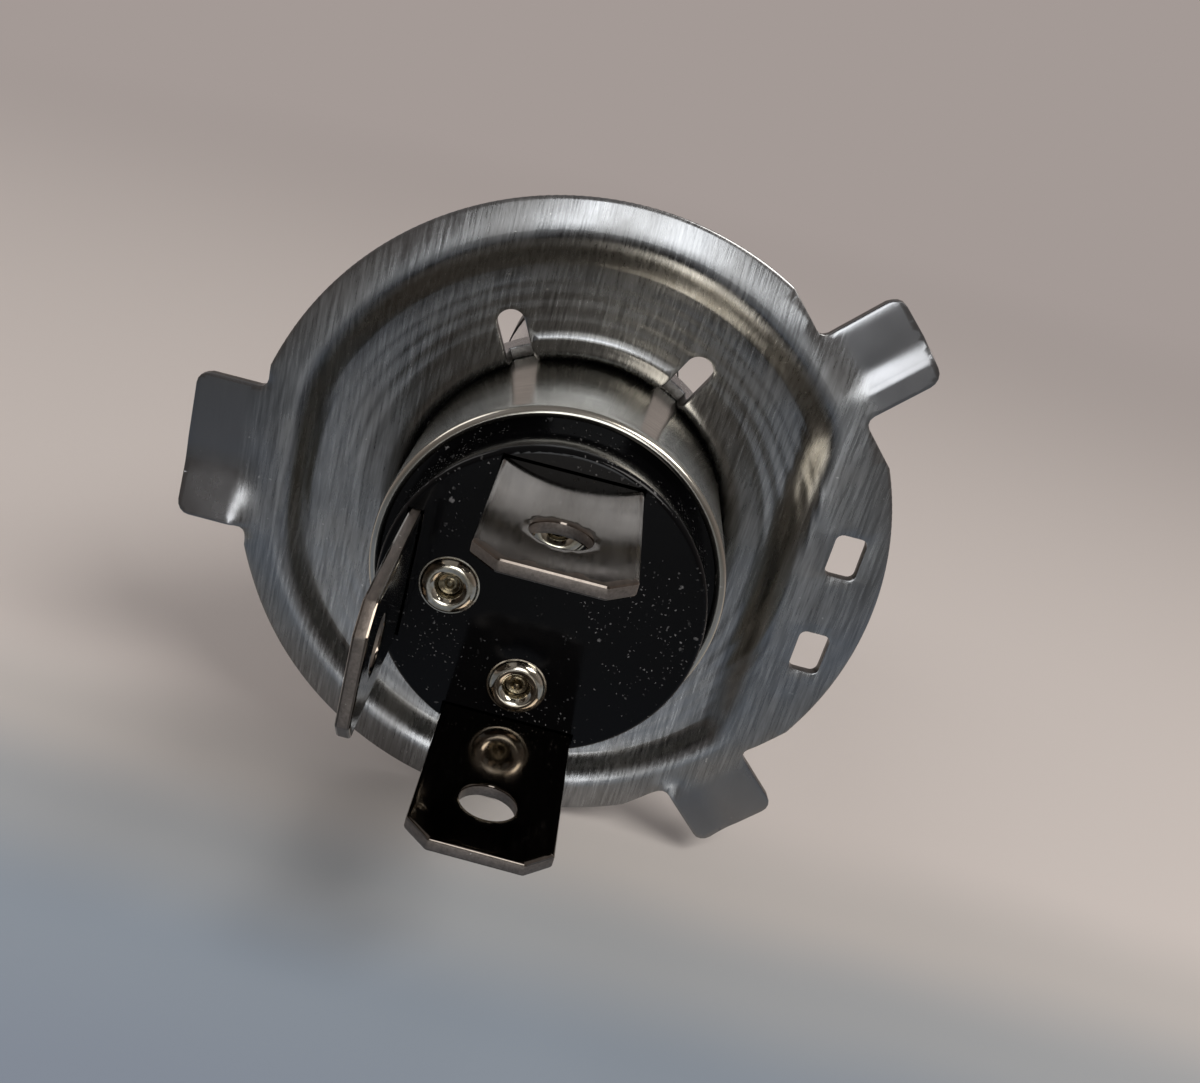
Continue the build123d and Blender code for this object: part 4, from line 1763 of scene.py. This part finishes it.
    def build_eyelets(self) -> bpy.types.Object:
        """Rolls the three eyelets over the plug's face, each with a thin foot round it."""
        half = (self.eyelet_radius - 0.08 - self.eyelet_bore) / 2
        middle = self.eyelet_bore + half
        roll = [
            (middle + half * math.cos(swing), self.plug_rear - self.eyelet_lip * math.sin(swing))
            for swing in np.linspace(0, math.pi, 25)
        ]
        corners = (
            (self.eyelet_bore, self.roll_front, 0.15),
            (self.eyelet_radius, self.roll_front, 0.15),
            (self.eyelet_radius, self.roll_front - self.roll_width, 0.1),
            (self.barrel_radius, self.roll_front - self.roll_width, 0.0),
            (self.barrel_radius, self.plug_rear, 0.0),
            (self.eyelet_radius, self.plug_rear, 0.0),
            (self.eyelet_radius, self.plug_rear - 0.06, 0.0),
        )
        outside = rounded_path(corners, 0.4, closed=False)
        profile = np.vstack((outside, np.array(roll[1:])))
        places = [(x * self.eyelet_place, z * self.eyelet_place) for _, x, z in self.circuits]
        shapes = [revolved(profile, place, 56) for place in places]
        shape = shapes[0].joined(shapes[1]).joined(shapes[2])
        return shape.piece("rolled_eyelets", EYELET_PLATE, "eyelet_plate", ["rivet_eyelets"], 50.0)

    def build_solder(self) -> bpy.types.Object:
        """Fills each eyelet with solder that stands up in a nub round the wire's end."""
        shapes = []
        bottom = self.plug_rear + self.solder_depth
        side = self.eyelet_bore - 0.02
        for (_, x, z), nub, level in zip(self.circuits, self.nub_rise, self.solder_level):
            top = self.plug_rear + level
            corners = (
                (0.0, bottom, 0.0),
                (side, bottom, 0.0),
                (side, top - 0.1, 0.05),
                (0.36, top + 0.1, 0.2),
                (0.16, top - nub - 0.04, 0.08),
                (0.0, top - nub - 0.06, 0.0),
            )
            profile = rounded_path(corners, 0.2, closed=False)
            place = (x * self.eyelet_place, z * self.eyelet_place)
            shapes.append(revolved(profile, place, 32, closed=False))
        shape = shapes[0].joined(shapes[1]).joined(shapes[2])
        return shape.piece("soldered_wire_ends", SOLDER, "solder", ["solder_joints"], 60.0)


# How far each blade's tip leans outwards from straight.
BLADE_LEAN = {"low_beam": -0.1, "common": -0.12, "high_beam": -0.1}
# How deep a knock each blade has near its tip.
BLADE_DENT = {"low_beam": 0.0, "common": 0.0, "high_beam": 0.12}


def dress(node: str, finish: Finish) -> None:
    """Gives a node of the frame its finish, and keeps its shape.

    Args:
        node: The node's name.
        finish: What it is made of.
    """
    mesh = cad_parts[node].data
    mesh.materials.clear()
    mesh.materials.append(material_of(finish))
    LOG.info("%s is dressed as %s", node, finish.name)


# ---- Burner: glass, holder, wires and coils -----------------------------------------------
@dataclass
class Burner:
    """The light source: glass, its holder and clip, wires, coils and shield."""

    # Wire and coils. The real wire is finer, and is drawn as thick as it needs to show.
    wire_radius: float = 0.06
    coil_radius: float = 0.69
    turns: int = 13
    # Each coil's X, and the Y of its rear and front ends, then the Y of its legs' ends.
    low_coil: tuple[float, float, float] = (-0.7, 29.5, 34.5)
    low_ends: tuple[float, float] = (29.0, 35.6)
    high_coil: tuple[float, float, float] = (0.7, 22.4, 26.9)
    high_ends: tuple[float, float] = (22.0, 27.3)
    # X and Z of the wire that both coils share.
    common_wire: tuple[float, float] = (-0.7, 2.5)

    def build(self) -> None:
        """Makes the coils, and dresses everything else in the burner."""
        for circuit in ("low_beam", "common", "high_beam"):
            dress(f"outer_lead_{circuit}", LEAD_WIRE)
            dress(f"inner_lead_{circuit}", MOLYBDENUM)
        dress("seal_foils", FOIL)
        dress("shield_cup", MOLYBDENUM)
        dress("glass_envelope", QUARTZ)
        dress("tip_coating", TIP_BLACK)
        dress("holder_shell", HOLDER_STEEL)
        dress("pinch_clip", CLIP_STEEL)
        x = self.low_coil[0]
        head, tail = [(x, self.low_ends[0], 0.0)], [(x, self.low_ends[1], 0.0)]
        self.build_coil("low_beam", self.low_coil, head, tail)
        x = self.high_coil[0]
        head, tail = [(x, self.high_ends[0], 0.0)], [(x, self.high_ends[1], 0.0)]
        tail.append((self.common_wire[0], self.high_ends[1], self.common_wire[1]))
        self.build_coil("high_beam", self.high_coil, head, tail)

    def build_coil(
        self,
        circuit: str,
        coil: tuple[float, float, float],
        head: list[tuple[float, float, float]],
        tail: list[tuple[float, float, float]],
    ) -> bpy.types.Object:
        """Winds one filament.

        Args:
            circuit: The circuit's name.
            coil: The coil's X, and the Y of its rear and front ends.
            head: Points of the leg before the coil.
            tail: Points of the leg after it.

        Returns:
            The filament's piece.
        """
        x, rear, front = coil
        per_turn = 20
        count = self.turns * per_turn
        route = list(head)
        for i in range(count + 1):
            angle = 2 * math.pi * i / per_turn
            y = rear + (front - rear) * i / count
            route.append((x + self.coil_radius * math.cos(angle), y, self.coil_radius * math.sin(angle)))
        route += tail
        curve = bpy.data.curves.new(f"wound_filament_{circuit}", "CURVE")
        curve.dimensions = "3D"
        curve.bevel_depth = self.wire_radius * MM
        curve.bevel_resolution = 2
        curve.use_fill_caps = True
        spline = curve.splines.new("POLY")
        spline.points.add(len(route) - 1)
        for point, spot in zip(spline.points, route):
            point.co = (*(c * MM for c in spot), 1.0)
        curve.materials.append(material_of(TUNGSTEN))
        piece = bpy.data.objects.new(f"wound_filament_{circuit}", curve)
        bpy.context.scene.collection.objects.link(piece)
        return settle(piece, [f"filament_{circuit}"])


# ---- Studio -----------------------------------------------------------------------------
@dataclass(frozen=True)
class Softbox:
    """A soft light.

    Attributes:
        name: The light's name.
        place: Where it hangs.
        aim: What it points at.
        size: Width and height.
        power: Power in watts.
        colour: Its colour.
    """

    name: str
    place: tuple[float, float, float]
    aim: tuple[float, float, float]
    size: tuple[float, float]
    power: float
    colour: str

    def build(self) -> bpy.types.Object:
        """Hangs the light.

        Returns:
            The light, unseen by the camera itself.
        """
        lamp = bpy.data.lights.new(self.name, "AREA")
        lamp.shape = "RECTANGLE"
        lamp.size, lamp.size_y = self.size[0] * MM, self.size[1] * MM
        lamp.energy = self.power
        lamp.color = linear(self.colour)[:3]
        light = bpy.data.objects.new(self.name, lamp)
        light.location = Vector(self.place) * MM
        light.rotation_euler = (Vector(self.aim) - Vector(self.place)).to_track_quat("-Z", "Y").to_euler()
        light.visible_camera = False
        bpy.context.scene.collection.objects.link(light)
        return light


@dataclass
class Studio:
    """A pale floor with painted shadow on it, soft light and the camera."""

    # Floor, just below the bulb, with painted shadow in soft stripes along Y, darker and cooler towards
    # the front where the bulb's metal reflects it, and the fade into the far wall.
    floor_gap: float = 0.02
    floor_radius: float = 2500.0
    painted_shade_reach: tuple[float, float] = (-80.0, 40.0)
    painted_shade_bands: tuple[tuple[float, str], ...] = (
        (-75.0, "#74787C"),
        (-50.0, "#7B8189"),
        (-32.0, "#8590A0"),
        (-18.0, "#8E99A6"),
        (-8.0, "#A6AAAE"),
        (2.0, "#C2BEBB"),
        (14.0, "#D4CDC9"),
    )
    cloud_size: float = 60.0
    cloud_shift: float = 10.0
    fade: tuple[float, float] = (90.0, 420.0)
    # Room: overhead, behind the bulb and in front of it.
    sky_colour: str = "#959190"
    haze_colour: str = "#A49A96"
    front_colour: str = "#6C6662"
    # Camera: place, then its turn, fall and roll in degrees.
    camera_place: tuple[float, float, float] = (-1.307, -78.17, 31.123)
    camera_turn: float = -2.27
    camera_fall: float = 26.26
    camera_roll: float = 13.75
    lens: float = 37.68
    shift: tuple[float, float] = (0.1107, 0.0587)
    softboxes: tuple[Softbox, ...] = (
        Softbox("low_front", (7, -235, 38), (0, 0, 10), (78, 108), 0.116, "#FBFDFF"),
        Softbox("key", (190, -170, 280), (0, 0, -10), (230, 150), 0.98, "#FFFAF4"),
        Softbox("left_rear", (-330, 110, 240), (-20, 20, -20), (200, 200), 0.32, "#FFFBF8"),
    )

    def build(self) -> None:
        """Sets up the world, the floor, the lights and the camera."""
        self.build_world()
        self.build_floor()
        for softbox in self.softboxes:
            softbox.build()
        self.build_camera()
        bpy.context.scene.view_settings.view_transform = "Standard"

    def build_world(self) -> None:
        """Surrounds the bulb with a pale room that is darker in front and overhead."""
        world = bpy.data.worlds.new("pale_room")
        bpy.context.scene.world = world
        world.use_nodes = True
        tree = world.node_tree
        tree.nodes.clear()
        direction = add_node(tree, "TexCoord").outputs["Generated"]
        parts = add_node(tree, "SeparateXYZ", {"Vector": direction})
        wall = self.wall_colour(tree, direction)
        height = add_node(
            tree,
            "MapRange",
            {"Value": parts.outputs["Z"], "From Min": 0.15, "From Max": 0.7},
            clamp=True,
        ).outputs["Result"]
        sky = add_node(
            tree,
            "Mix",
            {FACTOR: height, MIX_A: wall, MIX_B: linear(self.sky_colour)},
            data_type="RGBA",
        ).outputs[MIX_RESULT]
        ground = add_node(tree, "Background", {"Color": sky, "Strength": 1.0}).outputs["Background"]
        add_node(tree, "OutputWorld", {"Surface": ground})

    def wall_colour(
        self, tree: bpy.types.NodeTree, direction: bpy.types.NodeSocket
    ) -> bpy.types.NodeSocket:
        """Gives the far wall's colour, which the floor fades into without an edge.

        Args:
            tree: The nodes that need the colour.
            direction: The direction from the bulb.

        Returns:
            A colour output.
        """
        toward = add_node(tree, "SeparateXYZ", {"Vector": direction}).outputs["Y"]
        rear = add_node(
            tree,
            "MapRange",
            {"Value": toward, "From Min": -1.0, "From Max": 0.1},
            interpolation_type="SMOOTHSTEP",
        ).outputs["Result"]
        return add_node(
            tree,
            "Mix",
            {FACTOR: rear, MIX_A: linear(self.front_colour), MIX_B: linear(self.haze_colour)},
            data_type="RGBA",
        ).outputs[MIX_RESULT]

    def build_floor(self) -> bpy.types.Object:
        """Lays the floor just below the lowest point of the bulb, with painted shadow across it.

        Returns:
            The floor.
        """
        surface = Surface.bare("pale_floor_painted_shade")
        tree, place = surface.tree, surface.place
        cloud = add_node(
            tree, "TexNoise", {"Vector": place, "Scale": per_mm(self.cloud_size), "Detail": 3.0}
        ).outputs["Fac"]
        ahead = add_node(tree, "SeparateXYZ", {"Vector": place}).outputs["Y"]
        ahead = add_node(
            tree, "Math", {0: cloud, 1: self.cloud_shift * MM, 2: ahead}, operation="MULTIPLY_ADD"
        ).outputs["Value"]
        share = add_node(
            tree,
            "MapRange",
            {"Value": ahead, "From Min": self.painted_shade_reach[0] * MM, "From Max": self.painted_shade_reach[1] * MM},
        ).outputs["Result"]
        # Painted shadow: the floor darkens and cools towards -Y, in front of and under the bulb, and the
        # metal reflects that darker floor.
        ramp = add_node(tree, "ValToRGB", {"Fac": share})
        ramp.color_ramp.interpolation = "EASE"
        span = self.painted_shade_reach[1] - self.painted_shade_reach[0]
        stops = ramp.color_ramp.elements
        for i, (reach, shade) in enumerate(self.painted_shade_bands):
            spot = (reach - self.painted_shade_reach[0]) / span
            stop = stops[i] if i < 2 else stops.new(spot)
            stop.position, stop.color = spot, linear(shade)
        colour = ramp.outputs["Color"]
        near = add_node(tree, "BsdfPrincipled", {"Base Color": colour, "Roughness": 0.55})
        way = add_node(tree, "VectorMath", {0: place}, operation="NORMALIZE").outputs["Vector"]
        haze = add_node(tree, "Emission", {"Color": self.wall_colour(tree, way)})
        reach = add_node(tree, "VectorMath", {0: place}, operation="LENGTH").outputs["Value"]
        fade = add_node(
            tree,
            "MapRange",
            {"Value": reach, "From Min": self.fade[0] * MM, "From Max": self.fade[1] * MM},
            interpolation_type="SMOOTHSTEP",
        ).outputs["Result"]
        mixed = add_node(
            tree, "MixShader", {0: fade, 1: near.outputs["BSDF"], 2: haze.outputs["Emission"]}
        ).outputs["Shader"]
        add_node(tree, "OutputMaterial", {"Surface": mixed})
        level = CAD_BOX[0].z - self.floor_gap * MM
        edge = arc_points((0, 0), self.floor_radius * MM, 0, 360, 0.2)[:-1]
        mesh = bpy.data.meshes.new("floor")
        mesh.from_pydata([(x, y, level) for x, y in edge], [], [tuple(range(len(edge)))])
        mesh.materials.append(surface.material)
        floor = bpy.data.objects.new("floor", mesh)
        bpy.context.scene.collection.objects.link(floor)
        return floor

    def build_camera(self) -> bpy.types.Object:
        """Stands the camera behind and above the blades.

        Returns:
            The camera.
        """
        data = bpy.data.cameras.new("camera")
        data.lens = self.lens
        data.shift_x, data.shift_y = self.shift
        data.clip_start, data.clip_end = 0.005, 10.0
        camera = bpy.data.objects.new("camera", data)
        turn = Matrix.Rotation(math.radians(-self.camera_turn), 4, "Z")
        fall = Matrix.Rotation(math.radians(90 - self.camera_fall), 4, "X")
        roll = Matrix.Rotation(math.radians(self.camera_roll), 4, "Z")
        camera.matrix_world = Matrix.Translation(Vector(self.camera_place) * MM) @ turn @ fall @ roll
        bpy.context.scene.collection.objects.link(camera)
        bpy.context.scene.camera = camera
        return camera


def main() -> None:
    """Builds the bulb and its studio."""
    logging.basicConfig(level=logging.INFO, format="%(name)s: %(message)s")
    Studio().build()
    PrefocusRing().build()
    Base().build()
    Burner().build()


if __name__ == "__main__":
    main()
